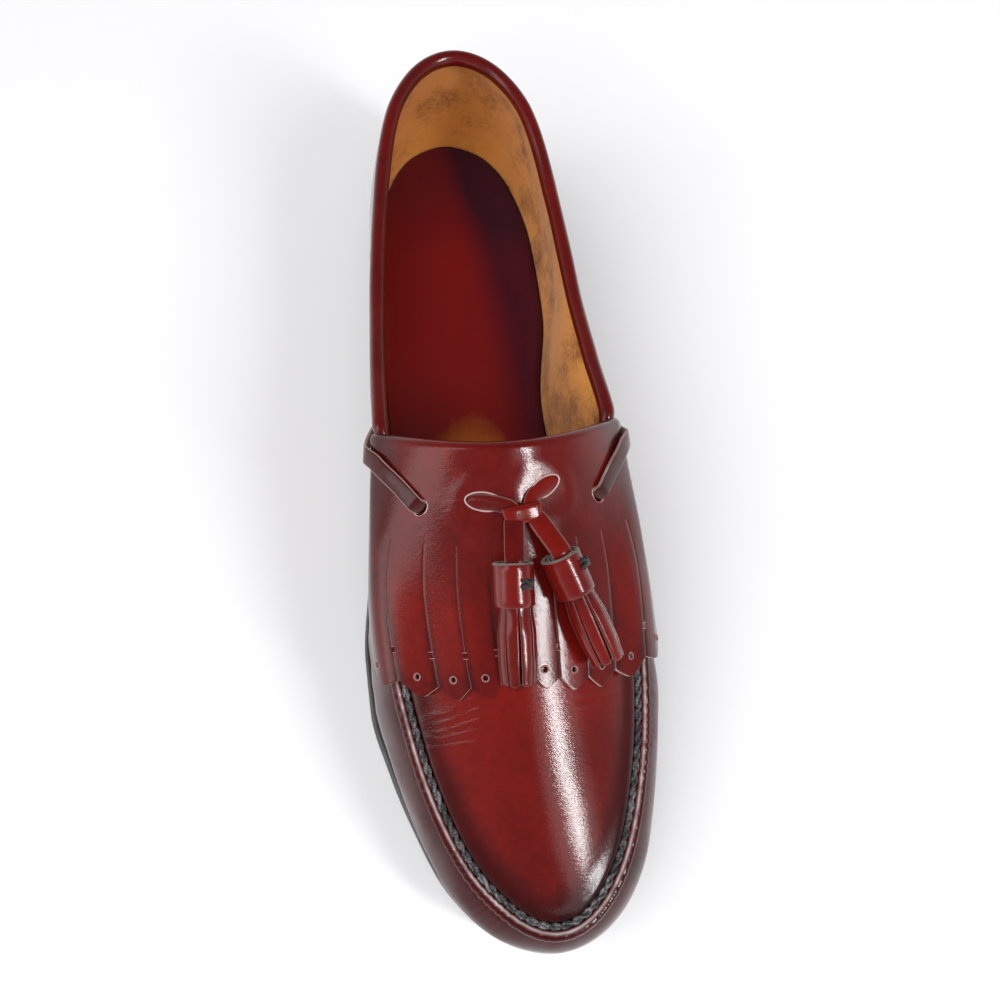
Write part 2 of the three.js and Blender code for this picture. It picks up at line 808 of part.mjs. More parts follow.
addPart("strap_outer", sideStrap(-1), LEATHER);
addPart("strap_inner", sideStrap(1), LEATHER);

// Finds the place on top of the kiltie at x and s by walking over its two directions
function onKiltie(x, s, above) {
  let across = x / (BALL_WIDTH / 2);
  let along = 0.3;
  const step = 0.01;
  for (let round = 0; round < 12; round++) {
    const here = kiltiePoint(across, along, KILTIE_THICKNESS);
    const right = kiltiePoint(across + step, along, KILTIE_THICKNESS).sub(here).divideScalar(step);
    const ahead = kiltiePoint(across, along + step, KILTIE_THICKNESS).sub(here).divideScalar(step);
    const missX = x - here.x;
    const missY = HEEL_CENTRE - s - here.y;
    const area = right.x * ahead.y - right.y * ahead.x;
    across += (missX * ahead.y - missY * ahead.x) / area;
    along += (missY * right.x - missX * right.y) / area;
    along = THREE.MathUtils.clamp(along, 0, 1);
    across = THREE.MathUtils.clamp(across, -1, 1);
  }
  const { normal } = kiltieFrame(across, along);
  return { point: kiltiePoint(across, along, KILTIE_THICKNESS + above), normal };
}

// Knot, loops and ends of the lace, by x and s in front of the throat
const KNOT_X = 1.6;
const KNOT_S = 0.6 * SOLE_LENGTH;
const LOOP_SPAN = 13;
const LOOP_BACK = 7;

// A round-edged block between two ends, for the knot
function softBlock({ point, normal }, direction, width, length, thickness) {
  const rings = 9;
  const sides = 12;
  const sideways = direction.clone().normalize();
  const up = normal.clone().addScaledVector(sideways, -normal.dot(sideways)).normalize();
  const forwards = sideways.clone().cross(up);
  const middle = point.clone().addScaledVector(up, thickness / 2);
  const points = [];
  const triangles = [];
  const soft = (value) => Math.sign(value) * Math.abs(value) ** 0.6;
  for (let i = 0; i < rings; i++) {
    const place01 = (i + 0.5) / rings;
    const bend = Math.PI * (place01 - 0.5);
    const size = Math.abs(Math.cos(bend)) ** 0.4;
    for (let k = 0; k < sides; k++) {
      const turn = (2 * Math.PI * k) / sides;
      points.push(
        middle
          .clone()
          .addScaledVector(sideways, (Math.sin(bend) * width) / 2)
          .addScaledVector(forwards, (soft(Math.cos(turn)) * size * length) / 2)
          .addScaledVector(up, (soft(Math.sin(turn)) * size * thickness) / 2),
      );
    }
  }
  for (let i = 0; i + 1 < rings; i++) {
    for (let k = 0; k < sides; k++) {
      const a = i * sides + k;
      const b = i * sides + ((k + 1) % sides);
      triangles.push(a, a + sides, b + sides, a, b + sides, b);
    }
  }
  return cappedTube(points, triangles, sides);
}

const knotSeat = onKiltie(KNOT_X, KNOT_S, FIT);
addPart(
  "lace_knot",
  softBlock(knotSeat, new THREE.Vector3(1, 0.12, 0), KNOT_WIDTH, KNOT_LENGTH, KNOT_THICKNESS),
  LEATHER,
);

// Each loop rises out of its hole in the kiltie, arches and dips behind the knot
function laceLoop(side) {
  const run = [];
  const steps = 8;
  for (let i = 0; i <= steps; i++) {
    const mix = i / steps;
    const x = KNOT_X + side * (LOOP_SPAN - (LOOP_SPAN - 1.4) * mix);
    const s = KNOT_S - LOOP_BACK + 1.2 * mix * mix;
    run.push(onKiltie(x, s, FIT + 1.4 * Math.sin(Math.PI * mix)));
  }
  return flatBar(run, LACE_WIDTH, LACE_THICKNESS);
}

addPart("lace_loop_outer", laceLoop(-1), LEATHER);
addPart("lace_loop_inner", laceLoop(1), LEATHER);

// Each tassel lies on the kiltie: how far its lace, cap and tip are from the knot, as shares of its length
const TASSEL_LENGTH = CAP_LENGTH + FRINGE_LENGTH;
const TASSELS = [
  { name: "outer", stemX: -0.064, capX: -0.099, capS: 0.34, tipX: -0.12, tipS: 1.19 },
  { name: "inner", stemX: 0.09, capX: 0.235, capS: 0.3, tipX: 0.56, tipS: 1.15 },
];

function besideKnot(x, s, above) {
  return onKiltie(KNOT_X + TASSEL_LENGTH * x, KNOT_S + TASSEL_LENGTH * s, above).point;
}

function tasselAxis({ capX, capS, tipX, tipS }) {
  const start = besideKnot(capX, capS, 2 * FIT + CAP_RADIUS);
  const direction = besideKnot(tipX, tipS, 3 * FIT + FRINGE_RADIUS).sub(start).normalize();
  return { start, direction };
}

function tasselBody(tassel) {
  const { start, direction } = tasselAxis(tassel);
  const sideways = new THREE.Vector3(0, 0, 1).cross(direction).normalize();
  const up = direction.clone().cross(sideways).normalize();
  const perStrip = 4;
  const sides = FRINGE_STRIPS * perStrip;
  const profile = [
    { along: 0, radius: 0.55 * CAP_RADIUS, cut: 0 },
    { along: 0.3, radius: 0.93 * CAP_RADIUS, cut: 0 },
    { along: 1.2, radius: CAP_RADIUS, cut: 0 },
    { along: CAP_LENGTH - 0.8, radius: CAP_RADIUS, cut: 0 },
    { along: CAP_LENGTH, radius: 0.95 * CAP_RADIUS, cut: 0 },
    { along: CAP_LENGTH + 0.3, radius: 0.86 * FRINGE_RADIUS, cut: 1 },
    { along: CAP_LENGTH + 0.35 * FRINGE_LENGTH, radius: FRINGE_RADIUS, cut: 1 },
    { along: CAP_LENGTH + 0.75 * FRINGE_LENGTH, radius: 0.98 * FRINGE_RADIUS, cut: 1 },
    { along: TASSEL_LENGTH, radius: 0.9 * FRINGE_RADIUS, cut: 1 },
    { along: TASSEL_LENGTH - 1.2, radius: 0.5 * FRINGE_RADIUS, cut: 0.5 },
  ];
  const points = [];
  const triangles = [];
  profile.forEach(({ along, radius, cut }) => {
    for (let k = 0; k < sides; k++) {
      const turn = (2 * Math.PI * k) / sides;
      const groove = k % perStrip === 0 ? cut * FRINGE_GROOVE : 0;
      const size = radius - groove;
      points.push(
        start
          .clone()
          .addScaledVector(direction, along)
          .addScaledVector(sideways, Math.cos(turn) * size)
          .addScaledVector(up, Math.sin(turn) * size),
      );
    }
  });
  for (let i = 0; i + 1 < profile.length; i++) {
    for (let k = 0; k < sides; k++) {
      const a = i * sides + k;
      const b = i * sides + ((k + 1) % sides);
      triangles.push(a, a + sides, b + sides, a, b + sides, b);
    }
  }
  return cappedTube(points, triangles, sides);
}

// The end of the lace runs from under the knot to the top of its tassel
function laceEnd(tassel) {
  const { start, direction } = tasselAxis(tassel);
  const fromX = KNOT_X + TASSEL_LENGTH * tassel.stemX;
  const from = onKiltie(fromX, KNOT_S + KNOT_LENGTH / 2 + 1.2, FIT + 0.4);
  const to = start.clone().addScaledVector(direction, -FIT - 0.7);
  const run = [];
  const steps = 5;
  for (let i = 0; i <= steps; i++) {
    const mix = i / steps;
    const point = from.point.clone().lerp(to, mix);
    point.addScaledVector(from.normal, 1.6 * Math.sin(Math.PI * mix) - LACE_THICKNESS * 0.5 * mix);
    run.push({ point, normal: from.normal });
  }
  return flatBar(run, LACE_WIDTH, LACE_THICKNESS);
}

for (const tassel of TASSELS) {
  addPart(`lace_end_${tassel.name}`, laceEnd(tassel), LEATHER);
  addPart(`tassel_${tassel.name}`, tasselBody(tassel), LEATHER);
}

export default group;
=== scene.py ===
"""A burgundy tassel loafer for the right foot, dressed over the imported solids.

Shapes are worked out in millimetres from the same named sizes and tables as the solids, and are
turned into metres where a mesh is made. s is the distance from the back of the heel to the toe.
"""
import math

import bpy
import numpy as np
from mathutils import Matrix, Vector


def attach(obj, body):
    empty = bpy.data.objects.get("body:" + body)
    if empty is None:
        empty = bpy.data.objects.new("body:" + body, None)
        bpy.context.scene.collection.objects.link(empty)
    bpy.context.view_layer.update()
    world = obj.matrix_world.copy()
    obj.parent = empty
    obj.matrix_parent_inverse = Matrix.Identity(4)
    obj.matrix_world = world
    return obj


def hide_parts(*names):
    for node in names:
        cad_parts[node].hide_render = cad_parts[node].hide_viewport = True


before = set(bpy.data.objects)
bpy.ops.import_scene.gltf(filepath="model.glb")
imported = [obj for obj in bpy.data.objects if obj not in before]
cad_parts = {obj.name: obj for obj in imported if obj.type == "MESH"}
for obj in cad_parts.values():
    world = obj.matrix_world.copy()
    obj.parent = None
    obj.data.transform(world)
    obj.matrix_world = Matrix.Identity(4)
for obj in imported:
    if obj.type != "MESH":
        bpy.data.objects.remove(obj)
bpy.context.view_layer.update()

MM = 0.001
SIDES = (("outer", -1), ("inner", 1))

# Driving sizes of the shoe, as in the solids
SOLE_LENGTH = 312
BALL_WIDTH = 102
INSTEP_RISE = 86
HEEL_HEIGHT = 23.5
TOE_SPRING = 8.5
HEEL_CENTRE = 45
HEEL_LENGTH = 88
HEEL_TAPER = 1.5
BREAST_CURVE = 3
TOP_LIFT_THICKNESS = 5
OUTSOLE_THICKNESS = 5
WELT_THICKNESS = 3
INSOLE_THICKNESS = 2.6
WALL = 1.9
FIT = 0.3
EDGE_BACK = 5
EDGE_FRONT = 2.5
THROAT_CORNER_SHARE = 0.485
THROAT_CENTRE_SHARE = 0.54
PLUG_END_SHARE = 0.885
ROLL_HEIGHT = 2.2
BINDING_WIDTH = 5.4
BINDING_HEIGHT = 5.8
KILTIE_THICKNESS = 1.5
KILTIE_GAP = 0.55
KILTIE_CENTRE_SHARE = 0.812
KILTIE_SIDE_SHARE = 0.712
KILTIE_OVERHANG = 7
KILTIE_CREASE = 0.9
KILTIE_STRIPS = 10
SLIT_WIDTH = 0.5
SLIT_TOP = 0.39
SLIT_END = 0.81
SLIT_BRIDGE = 0.835
NOTCH = 0.95
STRAP_WIDTH = 6
KNOT_X = 1.6
KNOT_S = 187
CAP_RADIUS = 7
CAP_LENGTH = 13.5
FRINGE_LENGTH = 24
FRINGE_RADIUS = 6.2

SOLE_OUTLINE = [
    ["share", "centre", "half"],
    [0, 0, 0],
    [0.03, 0, 0.2],
    [0.08, 0, 0.285],
    [0.16, 0, 0.335],
    [0.27, -0.005, 0.348],
    [0.38, -0.03, 0.33],
    [0.48, -0.022, 0.365],
    [0.58, 0.006, 0.438],
    [0.67, 0.02, 0.484],
    [0.73, 0.027, 0.487],
    [0.8, 0.034, 0.447],
    [0.87, 0.038, 0.382],
    [0.93, 0.042, 0.308],
    [0.975, 0.048, 0.2],
    [1, 0.05, 0],
]
EDGE_OUTLINE = [
    ["share", "centre", "half"],
    [0, 0, 0],
    [0.03, 0, 0.165],
    [0.08, 0, 0.248],
    [0.16, 0, 0.305],
    [0.27, -0.004, 0.342],
    [0.38, -0.006, 0.366],
    [0.48, -0.002, 0.385],
    [0.58, 0.002, 0.399],
    [0.67, 0.006, 0.405],
    [0.73, 0.012, 0.397],
    [0.8, 0.02, 0.37],
    [0.87, 0.025, 0.32],
    [0.93, 0.031, 0.25],
    [0.975, 0.04, 0.152],
    [1, 0.043, 0],
]
WALL_SECTION = [
    ["share", "tuck", "low", "high"],
    [0, 0.024, 0.024, 0.008],
    [0.16, 0.022, 0.018, -0.006],
    [0.3, 0.02, 0.014, -0.012],
    [0.42, 0.022, 0.01, -0.016],
    [0.52, 0.03, 0.014, -0.018],
    [0.62, 0.04, 0.024, -0.008],
    [0.75, 0.046, 0.03, 0.004],
    [0.88, 0.044, 0.044, 0.03],
    [1, 0.042, 0.054, 0.048],
]
ARCH = [
    ["share", "heel", "toe"],
    [0, 1, 0],
    [0.27, 0.83, 0],
    [0.38, 0.6, 0],
    [0.48, 0.277, 0],
    [0.56, 0.07, 0],
    [0.62, 0, 0],
    [0.8, 0, 0],
    [0.9, 0, 0.3],
    [1, 0, 1],
]
EDGE_RISE = [
    ["share", "rise"],
    [0, 0.63],
    [0.08, 0.618],
    [0.2, 0.52],
    [0.3, 0.504],
    [0.4, 0.592],
    [0.485, 0.7],
    [0.58, 0.66],
    [0.65, 0.578],
    [0.72, 0.508],
    [0.8, 0.45],
    [0.87, 0.402],
    [0.93, 0.357],
    [1, 0.287],
]
RIDGE = [
    ["share", "rise", "sideways"],
    [0.5, 1.04, 0],
    [0.54, 1, 0],
    [0.62, 0.88, 0.005],
    [0.7, 0.758, 0.008],
    [0.78, 0.659, 0.014],
    [0.84, 0.587, 0.022],
    [0.885, 0.519, 0.03],
    [0.95, 0.42, 0.036],
]


def angle_of_share(share):
    return np.arccos(1 - 2 * np.asarray(share, float))


def share_of_angle(angle):
    return (1 - np.cos(angle)) / 2


def curve(table, column, where=lambda share: share):
    """A smooth curve through one column of a table, without overshoot."""
    rows = np.array(table[1:], float)
    at = where(rows[:, 0])
    value = rows[:, table[0].index(column)]
    step = np.diff(at)
    slope = np.diff(value) / step
    product = slope[:-1] * slope[1:]
    total = np.where(product > 0, slope[:-1] + slope[1:], 1)
    tangent = np.concatenate([slope[:1], np.where(product > 0, 2 * product / total, 0), slope[-1:]])

    def value_at(x):
        here = np.clip(x, at[0], at[-1])
        i = np.clip(np.searchsorted(at, here, side="right") - 1, 0, len(step) - 1)
        q = (here - at[i]) / step[i]
        mixed = value[i] + (value[i + 1] - value[i]) * q * q * (3 - 2 * q)
        return mixed + step[i] * (tangent[i] * q * (1 - q) ** 2 - tangent[i + 1] * q * q * (1 - q))

    return value_at


def smooth_step(low, high, x):
    q = np.clip((np.asarray(x, float) - low) / (high - low), 0, 1)
    return q * q * (3 - 2 * q)


sole_centre = curve(SOLE_OUTLINE, "centre", angle_of_share)
sole_half = curve(SOLE_OUTLINE, "half", angle_of_share)
edge_centre = curve(EDGE_OUTLINE, "centre", angle_of_share)
edge_half = curve(EDGE_OUTLINE, "half", angle_of_share)
tuck_share = curve(WALL_SECTION, "tuck")
low_share = curve(WALL_SECTION, "low")
high_share = curve(WALL_SECTION, "high")
arch_heel = curve(ARCH, "heel")
arch_toe = curve(ARCH, "toe")
edge_rise = curve(EDGE_RISE, "rise")
ridge_rise = curve(RIDGE, "rise")
ridge_sideways = curve(RIDGE, "sideways")


def place(x, s, z):
    return np.stack(np.broadcast_arrays(x, HEEL_CENTRE - np.asarray(s, float), z), -1).astype(float)


def sole_underside(s):
    share = np.asarray(s, float) / SOLE_LENGTH
    return HEEL_HEIGHT * arch_heel(share) + TOE_SPRING * arch_toe(share)


def outsole_top(s):
    return sole_underside(s) + OUTSOLE_THICKNESS


def welt_top(s):
    return outsole_top(s) + FIT + WELT_THICKNESS


def feather_line(s):
    return welt_top(s) + FIT


def sole_edge(side, angle):
    return BALL_WIDTH * (sole_centre(angle) + side * sole_half(angle)), SOLE_LENGTH * share_of_angle(angle)


def outward(side, angle):
    step = 0.001
    x0, s0 = sole_edge(side, np.maximum(angle - step, 0))
    x1, s1 = sole_edge(side, np.minimum(angle + step, np.pi))
    length = np.hypot(x1 - x0, s1 - s0)
    return side * (s1 - s0) / length, -side * (x1 - x0) / length


def beside_sole(side, angle, offset):
    x, s = sole_edge(side, angle)
    out_x, out_s = outward(side, angle)
    return x + out_x * offset, s + out_s * offset


def upper_edge(side, angle):
    s = EDGE_BACK + (SOLE_LENGTH - EDGE_BACK - EDGE_FRONT) * share_of_angle(angle)
    x = BALL_WIDTH * (edge_centre(angle) + side * edge_half(angle))
    return x, s, feather_line(s) + INSTEP_RISE * edge_rise(s / SOLE_LENGTH)


def wall_point(side, angle, rise):
    """rise is 0 at the feather line and 1 at the topline or seam."""
    share = share_of_angle(angle)
    foot = beside_sole(side, angle, -BALL_WIDTH * tuck_share(share))
    low = beside_sole(side, angle, BALL_WIDTH * low_share(share))
    high = beside_sole(side, angle, BALL_WIDTH * high_share(share))
    edge_x, edge_s, edge_z = upper_edge(side, angle)
    left = 1 - rise
    weights = left**3, 3 * left * left * rise, 3 * left * rise * rise, rise**3
    x = weights[0] * foot[0] + weights[1] * low[0] + weights[2] * high[0] + weights[3] * edge_x
    s = weights[0] * foot[1] + weights[1] * low[1] + weights[2] * high[1] + weights[3] * edge_s
    bottom = feather_line(foot[1])
    lift = 0.3 * weights[1] + 0.74 * weights[2] + weights[3]
    return place(x, s, bottom + (edge_z - bottom) * lift)


THROAT_ANGLE = float(angle_of_share(THROAT_CORNER_SHARE))
BINDING_END_ANGLE = THROAT_ANGLE - 0.032
THROAT_CORNER_S = float(upper_edge(1, THROAT_ANGLE)[1])
SEAM_TOE_S = float(upper_edge(1, math.pi)[1])


def ridge_point(share):
    s = share * SOLE_LENGTH
    return BALL_WIDTH * ridge_sideways(share), s, feather_line(s) + INSTEP_RISE * ridge_rise(share)


def rough_plug_point(side, angle, across):
    """across is 0 on the plug's middle line and 1 at the seam."""
    seam_x, seam_s, seam_z = upper_edge(side, angle)
    along = (seam_s - THROAT_CORNER_S) / (SEAM_TOE_S - THROAT_CORNER_S)
    share = THROAT_CENTRE_SHARE + (PLUG_END_SHARE - THROAT_CENTRE_SHARE) * along
    ridge_x, ridge_s, ridge_z = ridge_point(share)
    ahead = ridge_point(share + 0.002)
    behind = ridge_point(share - 0.002)
    slope = (ahead[2] - behind[2]) / (ahead[1] - behind[1])
    turn = np.clip(1 - along, 0, 1)
    s = ridge_s + (seam_s - ridge_s) * (turn * across * across + (1 - turn) * across)
    drop = seam_z - ridge_z - slope * (seam_s - ridge_s)
    return place(ridge_x + (seam_x - ridge_x) * across, s, ridge_z + slope * (s - ridge_s) + drop * across**2)


PLUG_TERMS = [(i, j) for i in range(6) for j in range(6 - i)]


def plug_terms(point):
    x = point[..., 0] / BALL_WIDTH
    s = (HEEL_CENTRE - point[..., 1]) / SOLE_LENGTH
    return np.stack([(2 * x) ** i * (4 * s - 3) ** j for i, j in PLUG_TERMS], -1)


def smooth_plug():
    """Fits one smooth surface to the plug, so that its gloss runs without a break."""
    angles = np.linspace(THROAT_ANGLE, np.pi, 90)
    side, angle, across = np.meshgrid([-1.0, 1.0], angles, np.linspace(0, 1, 40))
    point = rough_plug_point(side, angle, across).reshape(-1, 3)
    return np.linalg.lstsq(plug_terms(point), point[:, 2], rcond=None)[0]


PLUG_FIT = smooth_plug()


def plug_point(side, angle, across):
    point = rough_plug_point(side, angle, across)
    weight = smooth_step(0, 0.16, 1 - across)
    point[..., 2] += weight * (plug_terms(point) @ PLUG_FIT - point[..., 2])
    return point


def skin_point(side, angle, down):
    """down is 0 on the middle line, 1 at the seam or topline and 2 at the feather line."""
    side, angle, down = np.broadcast_arrays(*(np.asarray(v, float) for v in (side, angle, down)))
    on_plug = plug_point(side, angle, np.minimum(down, 1))
    on_wall = wall_point(side, angle, 2 - np.maximum(down, 1))
    return np.where((down <= 1)[..., None], on_plug, on_wall)


def unit(v):
    length = np.linalg.norm(v, axis=-1, keepdims=True)
    return v / np.where(length > 1e-12, length, 1)


def one_side_normal(side, angle, down):
    turn = 0.06
    drop = 0.05
    open_part = angle < THROAT_ANGLE
    lowest = np.where(open_part, 1.0, 0.0)
    first = np.where(open_part, 0.0, THROAT_ANGLE)
    along = skin_point(side, np.minimum(angle + turn, np.pi), down)
    along = along - skin_point(side, np.maximum(angle - turn, first), down)
    across = skin_point(side, angle, np.minimum(down + drop, 2))
    across = across - skin_point(side, angle, np.maximum(down - drop, lowest))
    return unit(np.cross(along, across) * np.asarray(side)[..., None])


def skin_normal(side, angle, down):
    side, angle, down = np.broadcast_arrays(*(np.asarray(v, float) for v in (side, angle, down)))
    normal = one_side_normal(side, angle, down)
    shared = (down < 1e-6) | (angle < 1e-6) | (angle > np.pi - 1e-6)
    both = unit(normal + one_side_normal(-side, angle, down))
    return np.where(shared[..., None], both, normal)


def wall_height(angle):
    _, s, z = upper_edge(1, angle)
    return z - feather_line(s)


def plug_reach(angle):
    return np.linalg.norm(plug_point(1, angle, 0.0) - plug_point(1, angle, 1.0), axis=-1)


def roll_height(angle):
    return ROLL_HEIGHT * smooth_step(THROAT_ANGLE, THROAT_ANGLE + 0.35, angle)


def noise_wave(points, scale, seed):
    """A smooth wavy value between about -1 and 1, from a few turned sine waves."""
    waves = np.random.default_rng(seed)
    total = np.zeros(points.shape[:-1])
    for _ in range(6):
        direction = unit(waves.normal(size=3))
        pitch = scale * waves.uniform(0.6, 1.7)
        total += np.sin(points @ direction * 2 * np.pi / pitch + waves.uniform(0, 6.28))
    return total / 6


def grid_faces(rows, columns, wrap=False):
    """Quads of a grid of points stored row by row; wrap joins the last column to the first."""
    i = np.arange(rows - 1)[:, None]
    j = np.arange(columns if wrap else columns - 1)[None, :]
    k = (j + 1) % columns
    corners = [i * columns + j, i * columns + k, (i + 1) * columns + k, (i + 1) * columns + j]
    return np.stack([np.broadcast_to(c, (rows - 1, j.shape[1])) for c in corners], -1).reshape(-1, 4)


def add_mesh(name, points, faces, materials, slots=None, shades=None):
    """An object from points in millimetres; slots gives each face's material, shades a value a point."""
    mesh = bpy.data.meshes.new(name)
    metres = np.asarray(points).reshape(-1, 3) * MM
    mesh.from_pydata(metres.tolist(), [], [list(map(int, f)) for f in faces])
    for material in materials:
        mesh.materials.append(material)
    if slots is not None:
        mesh.polygons.foreach_set("material_index", np.asarray(slots, np.int32))
    for key, values in (shades or {}).items():
        layer = mesh.attributes.new(key, "FLOAT", "POINT")
        layer.data.foreach_set("value", np.asarray(values, np.float32).ravel())
    mesh.validate()
    mesh.update()
    mesh.shade_smooth()
    thing = bpy.data.objects.new(name, mesh)
    bpy.context.scene.collection.objects.link(thing)
    return thing


def shade_piece(thing, values, key="tone_and_shade"):
    """Sets an attribute to one value or to a value a point."""
    layer = thing.data.attributes.new(key, "FLOAT", "POINT")
    layer.data.foreach_set("value", np.full(len(thing.data.vertices), values, np.float32))


def finish_piece(thing, replaced=()):
    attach(thing, "root")
    if replaced:
        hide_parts(*replaced)
    return thing


def volume_of(points, faces):
    """Signed volume, to tell which way a closed mesh's faces look."""
    total = 0.0
    p = np.asarray(points).reshape(-1, 3)
    for size in (3, 4):
        chosen = np.array([f for f in faces if len(f) == size])
        for k in range(1, size - 1):
            if len(chosen):
                a, b, c = p[chosen[:, 0]], p[chosen[:, k]], p[chosen[:, k + 1]]
                total += float(np.einsum("ij,ij->", a, np.cross(b, c)))
    return total


def tube(points):
    """Points in a row, quads and two end faces of a closed tube whose faces look outwards."""
    rows, columns = points.shape[:2]
    flat = points.reshape(-1, 3)
    quads = grid_faces(rows, columns, wrap=True).tolist()
    ends = [list(range(columns))[::-1], [k + (rows - 1) * columns for k in range(columns)]]
    if volume_of(flat, quads) < 0:
        quads = [f[::-1] for f in quads]
        ends = [f[::-1] for f in ends]
    return flat, quads, ends


def add_shell(name, outer, inner, faces, materials, shades=None, rim_slot=1, inner_slot=0):
    """A closed body from a patch and its other side, joined round the edges by rim faces."""
    count = len(outer)
    sides = {}
    edges = [np.stack([faces[:, k], faces[:, (k + 1) % 4]], 1) for k in range(4)]
    for a, b in np.concatenate(edges).tolist():
        sides[(a, b)] = True
    rims = [(b, a, a + count, b + count) for a, b in sides if (b, a) not in sides]
    every = faces.tolist() + [f[::-1] for f in (faces + count).tolist()] + rims
    slots = [0] * len(faces) + [inner_slot] * len(faces) + [rim_slot] * len(rims)
    points = np.concatenate([outer, inner])
    if volume_of(points, every) < 0:
        every = [tuple(f)[::-1] for f in every]
    if shades:
        shades = {key: np.concatenate([values, values]) for key, values in shades.items()}
    return add_mesh(name, points, every, materials, slots, shades)


def bevel(thing, width, angle=50, segments=2):
    """Rounds the sharp cut edges of a piece a little."""
    modifier = thing.modifiers.new("edge", "BEVEL")
    modifier.width = width * MM
    modifier.segments = segments
    modifier.limit_method = "ANGLE"
    modifier.angle_limit = math.radians(angle)
    modifier.harden_normals = False


def sweep(name, centres, ups, section, materials, section_slots=None, closed=False, widths=None):
    """A tube of the given section, (sideways, up) pairs, along a run of centres with their up directions."""
    centres = np.asarray(centres, float)
    if closed:
        along = np.roll(centres, -1, 0) - np.roll(centres, 1, 0)
    else:
        along = np.gradient(centres, axis=0)
    along = unit(along)
    sideways = unit(np.cross(along, ups))
    up = unit(np.cross(sideways, along))
    section = np.asarray(section, float)
    size = np.ones(len(centres)) if widths is None else np.asarray(widths, float)
    points = (
        centres[:, None]
        + sideways[:, None] * (section[None, :, 0] * size[:, None])[..., None]
        + up[:, None] * section[None, :, 1][..., None]
    )
    rows, columns = points.shape[:2]
    flat = points.reshape(-1, 3)
    faces = grid_faces(rows, columns, wrap=True).tolist()
    slot_of = section_slots or [0] * columns
    slots = [slot_of[k % columns] for k in range(len(faces))]
    if closed:
        for j in range(columns):
            k = (j + 1) % columns
            faces.append(((rows - 1) * columns + j, (rows - 1) * columns + k, k, j))
            slots.append(slot_of[j])
    else:
        cap = max(slot_of)
        for start, turn in ((0, -1), ((rows - 1) * columns, 1)):
            middle = len(flat)
            flat = np.concatenate([flat, flat[start:start + columns].mean(0)[None]])
            for j in range(columns):
                k = (j + 1) % columns
                corners = (start + j, start + k, middle)
                faces.append(corners if turn > 0 else corners[::-1])
                slots.append(cap)
    if volume_of(flat, faces) < 0:
        faces = [tuple(f)[::-1] for f in faces]
    return add_mesh(name, flat, faces, materials, slots)


# Materials. Leather reads three attributes: one from 0, bright, to 1, nearly black, a burnished finish together
# with painted shade and light;
# wear, pale for rubbing and for painted highlights; and wrinkle, fine raised lines
def new_material(name, colour, roughness, **inputs):
    material = bpy.data.materials.new(name)
    material.use_nodes = True
    shader = material.node_tree.nodes["Principled BSDF"]
    shader.inputs["Base Color"].default_value = (*colour, 1)
    shader.inputs["Roughness"].default_value = roughness
    for key, value in inputs.items():
        shader.inputs[key.replace("_", " ")].default_value = value
    return material, material.node_tree, shader


def add_node(tree, kind, **settings):
    node = tree.nodes.new(kind)
    for key, value in settings.items():
        setattr(node, key, value)
    return node


def object_noise(tree, scale, detail=3.0, rough=0.5, stretch=(1, 1, 1)):
    """Noise in the object's own metres; stretch lengthens it along an axis."""
    coordinates = add_node(tree, "ShaderNodeTexCoord")
    mapping = add_node(tree, "ShaderNodeMapping")
    mapping.inputs["Scale"].default_value = stretch
    noise = add_node(tree, "ShaderNodeTexNoise")
    noise.inputs["Scale"].default_value = scale
    noise.inputs["Detail"].default_value = detail
    noise.inputs["Roughness"].default_value = rough
    tree.links.new(coordinates.outputs["Object"], mapping.inputs["Vector"])
    tree.links.new(mapping.outputs["Vector"], noise.inputs["Vector"])
    return noise.outputs["Fac"]


def object_cells(tree, scale):
    coordinates = add_node(tree, "ShaderNodeTexCoord")
    cells = add_node(tree, "ShaderNodeTexVoronoi", feature="DISTANCE_TO_EDGE")
    cells.inputs["Scale"].default_value = scale
    tree.links.new(coordinates.outputs["Object"], cells.inputs["Vector"])
    return cells.outputs["Distance"]


def math_node(tree, operation, first, second):
    node = add_node(tree, "ShaderNodeMath", operation=operation)
    for socket, value in zip(node.inputs, (first, second)):
        if isinstance(value, (int, float)):
            socket.default_value = value
        else:
            tree.links.new(value, socket)
    return node.outputs[0]


def colour_ramp(tree, source, stops):
    ramp = add_node(tree, "ShaderNodeValToRGB")
    for _ in stops[2:]:
        ramp.color_ramp.elements.new(0.5)
    for element, (at, colour) in zip(ramp.color_ramp.elements, stops):
        element.position = at
        element.color = (*colour, 1)
    tree.links.new(source, ramp.inputs["Fac"])
    return ramp.outputs["Color"]


def map_range(tree, source, low, high, to_low, to_high):
    node = add_node(tree, "ShaderNodeMapRange")
    for key, value in (("From Min", low), ("From Max", high), ("To Min", to_low), ("To Max", to_high)):
        node.inputs[key].default_value = value
    tree.links.new(source, node.inputs["Value"])
    return node.outputs["Result"]


def bump_chain(tree, shader, layers):
    """layers are (height, distance in millimetres, strength) from the coarsest to the finest."""
    normal = None
    for height, distance, strength in layers:
        bump = add_node(tree, "ShaderNodeBump")
        bump.inputs["Distance"].default_value = distance * MM
        bump.inputs["Strength"].default_value = strength
        tree.links.new(height, bump.inputs["Height"])
        if normal is not None:
            tree.links.new(normal, bump.inputs["Normal"])
        normal = bump.outputs["Normal"]
    tree.links.new(normal, shader.inputs["Normal"])
    return normal


# Pale colour for places worn by rubbing and for painted highlights
RUB_AND_HIGHLIGHT_PALE = (0.74, 0.62, 0.61)


